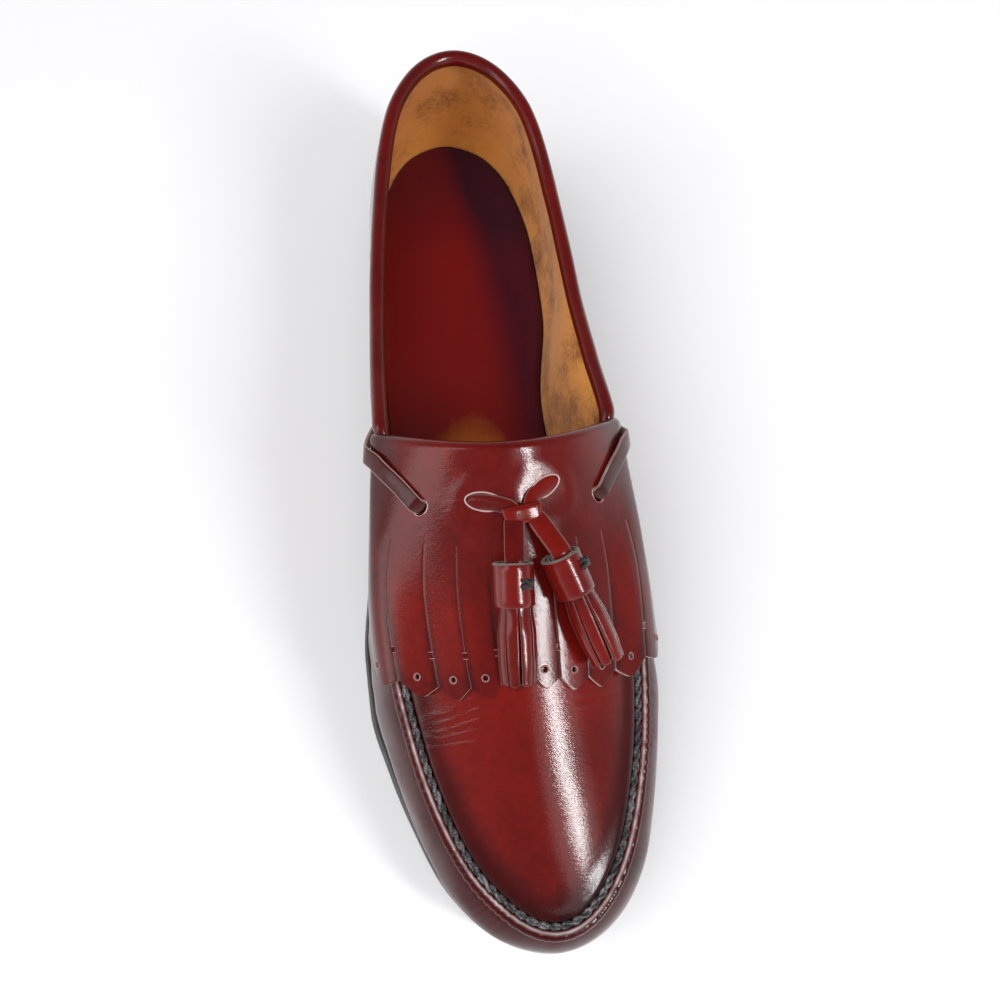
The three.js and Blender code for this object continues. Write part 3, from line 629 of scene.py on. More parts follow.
def leather(name, bright, middle, dark, gloss=1.0, coat_rough=0.07, grain=1.0, dull=1.0, mottle=1.0):
    """Polished leather: one attribute darkens it, for burnishing and painted shade, wear turns it pale, for
    rubbing and painted highlights, wrinkle raises fine lines across the shoe.
    """
    material, tree, shader = new_material(
        name,
        middle,
        0.38,
        Coat_Weight=gloss,
        Coat_Roughness=coat_rough,
        Coat_IOR=1.5,
        Specular_IOR_Level=0.06,
    )
    # The darkening attribute: burnished finish together with painted shade and painted light
    tone_and_shade = add_node(tree, "ShaderNodeAttribute", attribute_name="tone_and_shade").outputs["Fac"]
    cloudy = object_noise(tree, 45, 4, 0.6)
    shift = map_range(tree, cloudy, 0.3, 0.7, -0.08 * mottle, 0.08 * mottle)
    fine = map_range(tree, object_noise(tree, 420, 3, 0.6), 0.3, 0.7, -0.05 * mottle, 0.05 * mottle)
    shade = math_node(tree, "ADD", math_node(tree, "ADD", tone_and_shade, shift), fine)
    colour = colour_ramp(tree, shade, [(0.0, bright), (0.45, middle), (1.0, dark)])
    # wear mixes in the pale colour: rubbing and painted highlights
    wear = add_node(tree, "ShaderNodeAttribute", attribute_name="wear").outputs["Fac"]
    rub_and_highlight_mix = add_node(tree, "ShaderNodeMix", data_type="RGBA")
    rub_and_highlight_mix.inputs[7].default_value = (*RUB_AND_HIGHLIGHT_PALE, 1)
    tree.links.new(wear, rub_and_highlight_mix.inputs[0])
    tree.links.new(colour, rub_and_highlight_mix.inputs[6])
    tree.links.new(rub_and_highlight_mix.outputs[2], shader.inputs["Base Color"])
    polish = map_range(tree, object_noise(tree, 26, 3, 0.55, (1, 0.5, 1)), 0.42, 0.6, dull * gloss, gloss)
    kept = map_range(tree, tone_and_shade, 0.45, 0.95, 1.0, 0.55)
    tree.links.new(math_node(tree, "MULTIPLY", polish, kept), shader.inputs["Coat Weight"])
    rough = map_range(tree, object_noise(tree, 160, 4, 0.65), 0.3, 0.7, 0.3, 0.46)
    tree.links.new(rough, shader.inputs["Roughness"])
    scratches = object_noise(tree, 210, 2, 0.5, (1, 0.06, 0.4))
    pores = map_range(tree, object_cells(tree, 1500), 0.0, 0.25, 0.0, 1.0)
    ripple = object_noise(tree, 850, 3, 0.6)
    wrinkle = add_node(tree, "ShaderNodeAttribute", attribute_name="wrinkle").outputs["Fac"]
    lines = math_node(tree, "MULTIPLY", object_noise(tree, 620, 3, 0.55, (0.16, 1, 0.5)), wrinkle)
    normal = bump_chain(
        tree,
        shader,
        [(ripple, 0.1, 0.3 * grain), (scratches, 0.06, 0.2), (pores, 0.03, 0.25 * grain), (lines, 0.36, 0.6)],
    )
    tree.links.new(normal, shader.inputs["Coat Normal"])
    return material


REDS = [(0.2, 0.007, 0.0032), (0.066, 0.0034, 0.0032), (0.008, 0.002, 0.0025)]
OXBLOOD = leather("oxblood_leather", *REDS)
WALL_LEATHER = leather("wall_leather", *REDS, dull=0.35)
# The darkest, purplish colour paints the insole's shadow
INSOLE_LEATHER = leather(
    "insole_leather",
    (0.72, 0.24, 0.012),
    (0.17, 0.007, 0.005),
    (0.035, 0.007, 0.016),
    gloss=0.5,
    coat_rough=0.16,
    mottle=0.35,
    grain=0.6,
)


def suede(name, light, dark):
    material, tree, shader = new_material(name, light, 0.92, Sheen_Weight=0.35, Specular_IOR_Level=0.2)
    shader.inputs["Sheen Tint"].default_value = (0.95, 0.75, 0.6, 1)
    smudge = object_noise(tree, 38, 5, 0.65)
    nap = object_noise(tree, 700, 3, 0.6)
    much = math_node(tree, "MULTIPLY", smudge, 0.8)
    both = math_node(tree, "ADD", much, math_node(tree, "MULTIPLY", nap, 0.2))
    tree.links.new(
        colour_ramp(tree, both, [(0.36, dark), (0.5, light), (0.66, tuple(c * 1.15 for c in light))]),
        shader.inputs["Base Color"],
    )
    bump_chain(tree, shader, [(smudge, 0.4, 0.3), (nap, 0.2, 0.55)])
    return material


LINING = suede("lining_suede", (0.66, 0.27, 0.055), (0.25, 0.085, 0.018))
RAW_EDGE = suede("raw_leather_edge", (0.32, 0.22, 0.2), (0.14, 0.075, 0.07))
RAW_GREY = suede("rolled_leather_edge", (0.13, 0.125, 0.12), (0.035, 0.03, 0.03))
RAW_RED = suede("cut_leather_edge", (0.17, 0.06, 0.055), (0.07, 0.02, 0.02))


def thread(name, colour):
    material, tree, shader = new_material(name, colour, 0.5, Sheen_Weight=0.2)
    fibre = object_noise(tree, 1600, 3, 0.6, (1, 1, 0.3))
    patchy = object_noise(tree, 230, 3, 0.65, (1, 0.5, 1))
    half = math_node(tree, "MULTIPLY", fibre, 0.5)
    both = math_node(tree, "ADD", half, math_node(tree, "MULTIPLY", patchy, 0.5))
    dark = tuple(c * 0.09 for c in colour)
    tree.links.new(
        colour_ramp(tree, both, [(0.47, dark), (0.6, colour)]),
        shader.inputs["Base Color"],
    )
    bump_chain(tree, shader, [(fibre, 0.12, 0.6)])
    return material


SEAM_THREAD = thread("seam_thread", (0.21, 0.2, 0.205))
DARK_THREAD = thread("dark_thread", (0.022, 0.02, 0.022))
STITCH_THREAD = thread("burgundy_thread", (0.12, 0.02, 0.022))


def edge_paint(name, colour, roughness, coat, band):
    """Black edge dressing with thin layers showing through; band is the layers' noise scale."""
    material, tree, shader = new_material(name, colour, roughness, Coat_Weight=coat, Coat_Roughness=0.18)
    layers = object_noise(tree, band, 3, 0.55, (0.25, 0.25, 3))
    light = tuple(min(1, c * 2.4 + 0.012) for c in colour)
    tree.links.new(colour_ramp(tree, layers, [(0.4, colour), (0.78, light)]), shader.inputs["Base Color"])
    scuffs = object_noise(tree, 120, 5, 0.7)
    tree.links.new(
        map_range(tree, scuffs, 0.35, 0.7, roughness - 0.08, roughness + 0.22), shader.inputs["Roughness"]
    )
    bump_chain(tree, shader, [(layers, 0.15, 0.35), (object_noise(tree, 900, 3, 0.6), 0.05, 0.4)])
    return material


SOLE_EDGE = edge_paint("sole_edge", (0.013, 0.011, 0.012), 0.3, 0.7, 150)
WELT_EDGE = edge_paint("welt_edge", (0.03, 0.022, 0.022), 0.36, 0.5, 220)


def rubber():
    material, tree, shader = new_material("top_lift_rubber", (0.022, 0.022, 0.024), 0.7)
    grain = object_noise(tree, 800, 4, 0.7)
    tree.links.new(
        colour_ramp(tree, grain, [(0.35, (0.014, 0.014, 0.016)), (0.7, (0.036, 0.036, 0.04))]),
        shader.inputs["Base Color"],
    )
    bump_chain(tree, shader, [(grain, 0.12, 0.6)])
    return material


RUBBER = rubber()


# Columns round the shoe: the seam or topline is followed at an even pitch
def seam_columns(first, last, pitch):
    """Sides, angles and lengths from first to last; below zero is the outer side, above is the inner side.

    The run goes from the outer side round the toe, so it is measured by pi less the angle.
    """
    fine = np.linspace(first, last, 4000)
    side = np.where(fine < 0, -1.0, 1.0)
    angle = np.pi - np.abs(fine)
    x, s, z = upper_edge(side, angle)
    length = np.concatenate([[0], np.cumsum(np.linalg.norm(np.diff(np.stack([x, s, z], 1), axis=0), axis=1))])
    count = int(length[-1] / pitch) + 1
    even = np.linspace(0, length[-1], count)
    run = np.interp(even, length, fine)
    return np.where(run < 0, -1.0, 1.0), np.pi - np.abs(run), even


def weld(points, faces, tolerance=0.002):
    """Joins points that lie in the same place and drops faces that close up."""
    keys = np.round(points / tolerance).astype(np.int64)
    _, first, back = np.unique(keys, axis=0, return_index=True, return_inverse=True)
    back = back.reshape(-1)
    kept = []
    chosen = []
    for i, face in enumerate(faces):
        corners = [int(back[c]) for c in face]
        corners = [c for k, c in enumerate(corners) if c != corners[k - 1]]
        if len(corners) >= 3 and len(set(corners)) == len(corners):
            kept.append(corners)
            chosen.append(i)
    return points[first], kept, chosen, first


# Creases pressed into the plug and wall by wear: from one end to the other, by shares of width and length
CREASES = [
    ["x0", "s0", "x1", "s1", "depth", "width"],
    [-0.36, 0.782, -0.12, 0.768, 0.1, 0.9],
    [-0.36, 0.786, -0.11, 0.779, 0.13, 0.8],
    [-0.36, 0.789, -0.12, 0.79, 0.12, 0.8],
    [-0.36, 0.793, -0.15, 0.803, 0.12, 0.8],
    [0.16, 0.775, 0.34, 0.765, 0.07, 0.9],
    [-0.5, 0.62, -0.43, 0.66, 0.3, 2.3],
    [-0.5, 0.665, -0.44, 0.705, 0.16, 1.5],
    [-0.49, 0.72, -0.45, 0.735, 0.2, 2.0],
    [0.46, 0.61, 0.5, 0.65, 0.25, 2.2],
    [0.46, 0.68, 0.5, 0.7, 0.15, 1.6],
]


def crease_depth(points):
    total = np.zeros(points.shape[:-1])
    x = points[..., 0] / BALL_WIDTH
    s = (HEEL_CENTRE - points[..., 1]) / SOLE_LENGTH
    wander = 0.9 * noise_wave(points, 20, 5)
    for x0, s0, x1, s1, depth, width in CREASES[1:]:
        run = np.array([(x1 - x0) * BALL_WIDTH, (s1 - s0) * SOLE_LENGTH])
        length = np.hypot(*run)
        run = run / length
        from_x = (x - x0) * BALL_WIDTH
        from_s = (s - s0) * SOLE_LENGTH
        along = from_x * run[0] + from_s * run[1]
        off = from_x * -run[1] + from_s * run[0] + wander
        fade = smooth_step(-3, 0.25 * length, along) * smooth_step(-3, 0.25 * length, length - along)
        total -= depth * fade * np.exp(-((off / width) ** 2))
        total += 0.45 * depth * fade * (np.exp(-(((off - 2 * width) / width) ** 2)))
        total += 0.35 * depth * fade * (np.exp(-(((off + 2 * width) / width) ** 2)))
    return total


STITCH_PITCH = 4.2
THREAD_TWIST = 8.4
WALL_PLEAT = 0.13
WALL_ROWS = 20
ROLL_ROWS = 20
# The row of the roll that lies over its inner shoulder, painted pale as a highlight
CREST_ROW = 12
ROLL_RADIUS = 1.9


def pleats(length, seed=3):
    """Gathered pleats across the roll, in groups; length is measured along the seam."""
    groups = 0.25 + 0.75 * smooth_step(-0.1, 0.4, np.sin(length / 11 + 0.6) * np.sin(length / 29 + seed))
    turn = length / 2.9 + 0.35 * np.sin(length / 3.1) + 0.3 * np.sin(length / 7.7)
    return groups * (0.6 - 2 * np.exp(-(((turn - np.round(turn)) / 0.2) ** 2)))


# The vamp's wall runs up to the roll, over it and down into the channel beside the plug
def roll_section(angle, length):
    """(towards the plug, up) pairs over the roll for each column, in millimetres."""
    size = (0.4 + 0.6 * smooth_step(THROAT_ANGLE, THROAT_ANGLE + 0.3, angle))[:, None]
    pinch = np.abs(np.sin(np.pi * length / STITCH_PITCH))[:, None]
    radius = ROLL_RADIUS * size * (0.97 + 0.03 * pinch + 0.085 * pleats(length)[:, None])
    turn = np.radians(np.linspace(212, -55, ROLL_ROWS + 1))[None, :]
    reach = -0.1 * (1 - pinch) * size
    across = radius * np.cos(turn) + 0.2 * size + reach * np.sin(turn)
    up = 0.42 * size * ROLL_RADIUS + radius * np.sin(turn)
    return across, up


def vamp_rows(side, angle, length, down_rows=WALL_ROWS):
    """Outer points of the wall and roll, with their normals; rows go from the feather line up."""
    height = wall_height(angle)
    roll_across, roll_up = roll_section(angle, length)
    start = roll_across[:, 0]
    foot_up = roll_up[:, 0]
    rows = []
    normals = []
    pleat_fade = smooth_step(THROAT_ANGLE + 0.1, THROAT_ANGLE + 0.4, angle)
    for q in np.linspace(0, 1, down_rows):
        back = (1 - q) ** 1.3 * (height + start) - start
        down = 1 + back / height
        point = skin_point(side, angle, np.minimum(down, 2))
        normal = skin_normal(side, angle, np.minimum(down, 1.999))
        lift = foot_up * np.exp(-np.maximum(back + start, 0) / 1.1)
        wear = crease_depth(point) + 0.35 * noise_wave(point, 30, 33) * np.exp(-(((back - 14) / 9) ** 2))
        drawn = WALL_PLEAT * pleats(length, 8) * np.exp(-(((back - 4) / 4) ** 2)) * pleat_fade
        rows.append(point + normal * (lift + wear + drawn)[:, None])
        normals.append(normal)
    reach = plug_reach(angle)
    seam = skin_point(side, angle, np.ones_like(angle))
    seam_normal = skin_normal(side, angle, np.ones_like(angle))
    inward = skin_point(side, angle, 1 - 2 / np.maximum(reach, 2)) - skin_point(side, angle, 1 + 2 / height)
    inward = unit(inward - seam_normal * np.sum(inward * seam_normal, -1, keepdims=True))
    for k in range(1, roll_across.shape[1]):
        rows.append(seam + inward * roll_across[:, k:k + 1] + seam_normal * roll_up[:, k:k + 1])
        normals.append(seam_normal)
    return np.stack(rows), np.stack(normals), seam, seam_normal, inward


def vamp():
    side, angle, length = seam_columns(THROAT_ANGLE - np.pi, np.pi - THROAT_ANGLE, 0.52)
    outer, normals, *_ = vamp_rows(side, angle, length)
    deep = np.full(outer.shape[:2], 1.0)
    inner = outer - normals * deep[..., None]
    rows, columns = outer.shape[:2]
    drop = np.linspace(0, 1, rows)[:, None]
    toe = smooth_step(0.6, 1, share_of_angle(angle))[None, :]
    foot = 1 - smooth_step(0, 0.3, drop)
    # Painted shade and light: darker towards the sole, lighter over the roll; also darker at the toe
    tone_and_shade = 0.58 + 0.3 * foot + 0.1 * toe - 0.18 * smooth_step(0.62, 0.95, drop) + 0 * outer[..., 0]
    row = np.arange(rows)[:, None] - WALL_ROWS
    uneven = np.clip(0.62 + 0.5 * noise_wave(outer, 7, 77), 0, 1)
    # Painted highlight: a pale line along the roll's inner shoulder, and a fainter pale line at the roll's foot
    crest_highlight_and_foot_line = np.exp(-(((row - CREST_ROW) / 0.9) ** 2)) + 0.45 * np.exp(-(((row + 0.5) / 0.8) ** 2))
    shown = smooth_step(THROAT_ANGLE + 0.1, THROAT_ANGLE + 0.4, angle)[None, :]
    wrinkle = 0.5 * np.exp(-(((row + 5) / 4) ** 2)) * np.clip(0.5 + noise_wave(outer, 17, 78), 0, 1)
    thing = add_shell(
        "vamp",
        outer.reshape(-1, 3),
        inner.reshape(-1, 3),
        grid_faces(rows, columns),
        [WALL_LEATHER, RAW_RED, LINING],
        {
            "tone_and_shade": tone_and_shade.reshape(-1),
            # These wear values are the painted highlight on the roll and the pale line at its foot
            "wear": (0.9 * crest_highlight_and_foot_line * uneven * shown).reshape(-1),
            "wrinkle": wrinkle.reshape(-1),
        },
        inner_slot=0,
    )
    return finish_piece(thing, ["upper"])


vamp()


# The plug rises beside the channel of the seam and carries the flex creases
CHANNEL_START = 1.3
CHANNEL_DEPTH = 1.25


def plug_lift(off):
    """Height over the skin at a distance from the seam: down in the channel, then a plump edge."""
    plump = 0.6 * np.exp(-(((off - 5.4) / 2.6) ** 2))
    channel = -CHANNEL_DEPTH * (1 - smooth_step(CHANNEL_START + 1.1, 4.4, off))
    return channel + plump


def even_out(points, faces, rounds):
    """Moves each inner point towards the middle of its neighbours; the rim stays."""
    quads = np.array([f if len(f) == 4 else [*f, f[0]] for f in faces])
    starts = quads.reshape(-1)
    ends = np.roll(quads, -1, 1).reshape(-1)
    keep = starts != ends
    pairs = np.stack([starts[keep], ends[keep]], 1)
    both, times = np.unique(np.sort(pairs, 1), axis=0, return_counts=True)
    fixed = np.zeros(len(points), bool)
    fixed[both[times == 1].reshape(-1)] = True
    count = np.bincount(both.reshape(-1), minlength=len(points))[:, None]
    for _ in range(rounds):
        total = np.zeros_like(points)
        np.add.at(total, both[:, 0], points[both[:, 1]])
        np.add.at(total, both[:, 1], points[both[:, 0]])
        points = np.where(fixed[:, None], points, 0.5 * points + 0.5 * total / count)
    return points


# Fans of fine flex lines on the plug: middle and half size by shares of width and length, and strength
FLEX_FANS = [
    ["x", "s", "half_x", "half_s", "slope", "strength"],
    [-0.23, 0.774, 0.13, 0.009, -0.06, 1.0],
    [-0.25, 0.789, 0.12, 0.007, 0.02, 1.0],
    [-0.21, 0.801, 0.08, 0.006, 0.07, 1.0],
    [0.27, 0.772, 0.1, 0.01, -0.05, 0.5],
]


def flex_lines(points):
    x = points[..., 0] / BALL_WIDTH
    s = (HEEL_CENTRE - points[..., 1]) / SOLE_LENGTH
    total = np.zeros(points.shape[:-1])
    for at_x, at_s, half_x, half_s, slope, strength in FLEX_FANS[1:]:
        off = s - at_s - slope * (x - at_x)
        total += strength * np.exp(-(((x - at_x) / half_x) ** 4) - (off / half_s) ** 2)
    return np.clip(total, 0, 1)


def plug():
    angles = np.concatenate(
        [np.linspace(THROAT_ANGLE, np.pi - 0.2, 215)[:-1], np.linspace(np.pi - 0.2, np.pi, 45)]
    )[:, None]
    half = np.linspace(0, 1, 80)
    across = np.concatenate([-half[::-1], half[1:]])[None, :]
    bent = np.sign(across) * (1 - (1 - np.abs(across)) ** 1.25)
    reach = plug_reach(angles)
    down = np.abs(bent) * (1 - CHANNEL_START / reach)
    side = np.where(across < 0, -1.0, 1.0) + 0 * angles
    point = skin_point(side, angles, down)
    normal = skin_normal(side, angles, down)
    rows, columns = down.shape
    edge = 1 - smooth_step(1.5, 15, (1 - down) * reach)
    toe = smooth_step(0.72, 0.98, share_of_angle(angles))
    # Painted shade: darker towards the seam's channel and on the inner side; also darker at the toe
    tone_and_shade = 0.12 + 0.55 * edge + 0.18 * toe + 0.12 * smooth_step(0.3, 0.9, bent)
    points, faces, _, first = weld(point.reshape(-1, 3), grid_faces(rows, columns).tolist(), 0.003)
    points = even_out(points, faces, 30)
    normal = normal.reshape(-1, 3)[first]
    off = ((1 - down) * reach).reshape(-1)[first]
    size = np.broadcast_to(0.4 + 0.6 * smooth_step(THROAT_ANGLE, THROAT_ANGLE + 0.3, angles), down.shape)
    size = size.reshape(-1)[first]
    uneven = 0.5 + 0.5 * noise_wave(points, 30, 71)
    stitched = np.sin(2 * np.pi * points[:, 1] / STITCH_PITCH)
    gathers = 0.1 * uneven * stitched * np.exp(-(((off - 3.2) / 1.2) ** 2))
    lift = size * (plug_lift(off) + gathers) + 0.12 * noise_wave(points, 34, 11) + crease_depth(points)
    outer = points + normal * lift[:, None]
    shade = {"tone_and_shade": tone_and_shade.reshape(-1)[first], "wrinkle": flex_lines(points)}
    inner = outer - normal * 1.1
    thing = add_loose_shell("plug", outer, inner, faces, [OXBLOOD, RAW_RED, LINING], shade, inner_slot=2)
    return finish_piece(thing, ["upper"])


def add_loose_shell(name, outer, inner, faces, materials, shade, rim_slot=1, inner_slot=0):
    """A closed body from a welded patch of faces with any number of corners."""
    count = len(outer)
    sides = {}
    for face in faces:
        for k, corner in enumerate(face):
            sides[(face[k - 1], corner)] = True
    rims = [(b, a, a + count, b + count) for a, b in sides if (b, a) not in sides]
    every = [list(f) for f in faces] + [[c + count for c in f][::-1] for f in faces] + [list(r) for r in rims]
    slots = [0] * len(faces) + [inner_slot] * len(faces) + [rim_slot] * len(rims)
    points = np.concatenate([outer, inner])
    if volume_of(points, every) < 0:
        every = [f[::-1] for f in every]
    shades = {key: np.concatenate([value, value]) for key, value in shade.items()}
    return add_mesh(name, points, every, materials, slots, shades)


plug()


# A grey two-strand thread lies in the channel between roll and plug
def seam_thread():
    side, angle, length = seam_columns(THROAT_ANGLE - np.pi + 0.03, np.pi - THROAT_ANGLE - 0.03, 0.45)
    _, _, seam, normal, inward = vamp_rows(side, angle, length, 2)
    strand = 0.62
    centre = seam + inward * 2.8 + normal * 0.05
    turn = 2 * np.pi * length / THREAD_TWIST
    for number, start in enumerate((0, np.pi)):
        phase = turn + start
        middle = centre + inward * (0.68 * np.cos(phase))[:, None] + normal * (0.5 * np.sin(phase))[:, None]
        ring = np.linspace(0, 2 * np.pi, 9)[:-1]
        section = np.stack([strand * np.cos(ring), strand * np.sin(ring)], 1)
        thing = sweep(f"seam_thread_{number + 1}", middle, normal, section, [SEAM_THREAD])
        finish_piece(thing)


seam_thread()


# Quarters: the back halves of the wall, lapped over the vamp at the sides and made in one piece round the heel
QUARTER_TOP_SHARE = 0.474
QUARTER_FOOT_SHARE = 0.53
QUARTER_LIFT = 0.65


def quarter_front(rise):
    """Share of the length where the quarter's front edge lies at a height of the wall."""
    return QUARTER_FOOT_SHARE + (QUARTER_TOP_SHARE - QUARTER_FOOT_SHARE) * rise**1.3


def quarter_point(side, share, rise, lift):
    angle = angle_of_share(np.clip(share, 0, 1))
    down = 2 - rise
    point = skin_point(side, angle, np.maximum(down, 1.0))
    normal = skin_normal(side, angle, np.clip(down, 1.001, 1.999))
    wear = 0.12 * noise_wave(point, 40, 21) + crease_depth(point)
    return point + normal * (np.asarray(lift) + wear)[..., None], normal


def quarters():
    rise = np.linspace(0, 0.985, 44)[:, None]
    run = np.linspace(-1, 1, 420)[None, :]
    side = np.where(run < 0, -1.0, 1.0) + 0 * rise
    front = angle_of_share(quarter_front(rise))
    angle = np.abs(run) * front
    share = share_of_angle(angle)
    high_enough = np.ones_like(share) * rise
    before_edge = SOLE_LENGTH * (quarter_front(rise) - share)
    lapped = (1 - smooth_step(6, 30, before_edge)) * smooth_step(-0.2, 0.8, before_edge + 0.2)
    lap = 0.12 + QUARTER_LIFT * lapped
    outer, normal = quarter_point(side, share, high_enough, lap)
    inner = outer - normal * 0.62
    rows, columns = outer.shape[:2]
    foot = 1 - smooth_step(0, 0.25, high_enough)
    heel = 1 - smooth_step(0, 0.2, share)
    # Painted shade and light: darker towards the sole and the heel, lighter towards the collar
    tone_and_shade = 0.5 + 0.34 * foot + 0.1 * heel - 0.12 * smooth_step(0.4, 0.9, high_enough)
    thing = add_shell(
        "quarters",
        outer.reshape(-1, 3),
        inner.reshape(-1, 3),
        grid_faces(rows, columns),
        [OXBLOOD, RAW_RED, LINING],
        {"tone_and_shade": tone_and_shade.reshape(-1)},
        inner_slot=2,
    )
    finish_piece(thing, ["upper"])


quarters()


# The back strip covers the seam at the heel
STRIP_HALF_WIDTH = 7


def back_strip():
    rise = np.linspace(0, 0.97, 50)[:, None]
    across = np.linspace(-1, 1, 26)[None, :]
    width = STRIP_HALF_WIDTH * (0.82 + 0.18 * (1 - rise) ** 2)
    side = np.where(across < 0, -1.0, 1.0) + 0 * rise
    offset = np.abs(across) * width
    angle = offset / (0.5 * BALL_WIDTH)
    share = share_of_angle(angle)
    lift = 0.2 + 0.7 * smooth_step(0, 0.12, 1 - np.abs(across)) + 0 * rise
    outer, normal = quarter_point(side, share, rise + 0 * across, lift)
    inner = outer - normal * 0.7
    rows, columns = outer.shape[:2]
    thing = add_shell(
        "back_strip",
        outer.reshape(-1, 3),
        inner.reshape(-1, 3),
        grid_faces(rows, columns),
        [OXBLOOD, RAW_RED],
        {"tone_and_shade": np.full(rows * columns, 0.62)},
    )
    finish_piece(thing)


back_strip()


# Lining of the back of the shoe, open at the throat, seen through the collar
def lining():
    rise = np.linspace(0, 0.96, 30)[:, None]
    run = np.linspace(-1, 1, 260)[None, :]
    side = np.where(run < 0, -1.0, 1.0) + 0 * rise
    angle = np.abs(run) * angle_of_share(0.6) + 0 * rise
    down = np.clip(2 - rise, 1.03, 2) + 0 * run
    point = skin_point(side, angle, down)
    normal = skin_normal(side, angle, np.clip(down, 1.001, 1.999))
    wave = 0.3 * noise_wave(point, 45, 33)
    outer = point - normal * (0.95 + 0 * wave)[..., None]
    inner = point - normal * (WALL + 0.15 + 0.35 * wave)[..., None]
    rows, columns = outer.shape[:2]
    thing = add_shell(
        "lining",
        inner.reshape(-1, 3),
        outer.reshape(-1, 3),
        grid_faces(rows, columns),
        [LINING, LINING],
        rim_slot=0,
    )
    finish_piece(thing, ["upper"])


lining()


def oval(width, height, count=28, power=1.0):
    ring = np.linspace(0, 2 * np.pi, count + 1)[:-1]
    across = np.sign(np.cos(ring)) * np.abs(np.cos(ring)) ** power * width / 2
    up = np.sign(np.sin(ring)) * np.abs(np.sin(ring)) ** power * height / 2
    return np.stack([across, up], 1)


# Rolled binding along the collar
def collar_binding():
    stations = np.linspace(-1, 1, 380)
    side = np.where(stations < 0, -1.0, 1.0)
    angle = np.abs(stations) * (THROAT_ANGLE + 0.012)
    x, s, z = upper_edge(side, angle)
    normal = skin_normal(side, angle, np.ones_like(angle))
    normal[..., 2] = 0
    normal = unit(normal)
    under_flap = smooth_step(BINDING_END_ANGLE - 0.004, THROAT_ANGLE + 0.008, angle)
    middle = place(x, s, z) - normal * (WALL / 2 + 1.3 * under_flap)[:, None]
    middle[:, 2] -= 1.7 * under_flap
    tuck = 0.04 * noise_wave(middle * np.array([1, 1, 0.2]), 26, 41) - 0.2 * under_flap
    section = oval(BINDING_WIDTH, BINDING_HEIGHT, 36)
    ups = np.tile([0, 0, 1.0], (len(middle), 1))
    thing = sweep("collar_binding", middle, ups, section, [OXBLOOD], widths=1 + tuck)
    heights = np.tile(section[:, 1], len(middle))
    # Painted shade: the lower part of the binding is darker
    shade = np.full(len(thing.data.vertices), 0.6)
    shade[:len(heights)] = 0.34 + 0.42 * (heights < -1.4)
    shade_piece(thing, shade)
    finish_piece(thing, ["collar_binding"])


collar_binding()


# How far inside the seam the kiltie starts to rise over it
KILTIE_BRIDGE = 11


# Kiltie: the fringed flap, with slits, punched holes and two holes for the lace
def kiltie_frame(across, along):
    across, along = np.broadcast_arrays(np.asarray(across, float), np.asarray(along, float))
    side = np.where(across < 0, -1.0, 1.0)
    wide = np.abs(across)
    end_share = KILTIE_CENTRE_SHARE + (KILTIE_SIDE_SHARE - KILTIE_CENTRE_SHARE) * wide * wide
    share = THROAT_CORNER_SHARE + (end_share - THROAT_CORNER_SHARE) * along
    angle = angle_of_share(share)
    reach = plug_reach(angle)
    height = wall_height(angle)
    overhang = KILTIE_OVERHANG * smooth_step(0, 0.6, along)
    distance = wide * (reach + overhang)
    down = np.where(distance <= reach, distance / reach, 1 + (distance - reach) / height)
    from_seam = distance - reach
    inside = np.exp(-((np.minimum(from_seam, 0) / KILTIE_BRIDGE) ** 2))
    outside = 1 - 0.35 * smooth_step(0, KILTIE_OVERHANG, from_seam)
    lift = (KILTIE_CREASE + 1.08 * roll_height(angle)) * inside * outside
    return skin_point(side, angle, down), skin_normal(side, angle, down), lift


def kiltie_point(across, along, above):
    point, normal, lift = kiltie_frame(across, along)
    return point + normal * (KILTIE_GAP + lift + above)[..., None]


def on_kiltie(x, s, above):
    """Point on top of the kiltie at x and s, its normal and the flap's own two coordinates."""
    across = x / (BALL_WIDTH / 2)
    along = 0.3
    step = 0.01
    for _ in range(14):
        here = kiltie_point(across, along, KILTIE_THICKNESS)
        right = (kiltie_point(across + step, along, KILTIE_THICKNESS) - here) / step
        ahead = (kiltie_point(across, along + step, KILTIE_THICKNESS) - here) / step
        miss_x = x - here[0]
        miss_y = HEEL_CENTRE - s - here[1]
        area = right[0] * ahead[1] - right[1] * ahead[0]
        across += (miss_x * ahead[1] - miss_y * ahead[0]) / area
        along += (miss_y * right[0] - miss_x * right[1]) / area
        along = float(np.clip(along, 0, 1))
        across = float(np.clip(across, -1, 1))
    _, normal, _ = kiltie_frame(across, along)
    return kiltie_point(across, along, KILTIE_THICKNESS + above), normal, (across, along)


STRIP_CELLS = 14
STRIP_LIFTS = [0.3, 0.0, 0.34, 0.08, 0.3, 0.0, 0.26, 0.05, 0.36, 0.1]
KNOT_S = 0.6 * SOLE_LENGTH
PUNCH_RADIUS = 1.0
PUNCH_ALONG = 0.915
CURL_RADIUS = 2.5


# Where each strap dives through the kiltie: share round the shoe and way down from its middle
STRAP_END_SHARE = 0.56
STRAP_END_DOWN = 0.66


def pulled_lines(points):
    """The leather is drawn into fine wrinkles beside the outer strap's slot."""
    slot = skin_point(-1.0, float(angle_of_share(STRAP_END_SHARE)), STRAP_END_DOWN)
    off = points - (slot + np.array([9.0, -2.0, 0.0]))
    return 0.8 * np.exp(-((off[..., 0] / 8) ** 2) - (off[..., 1] / 4) ** 2)


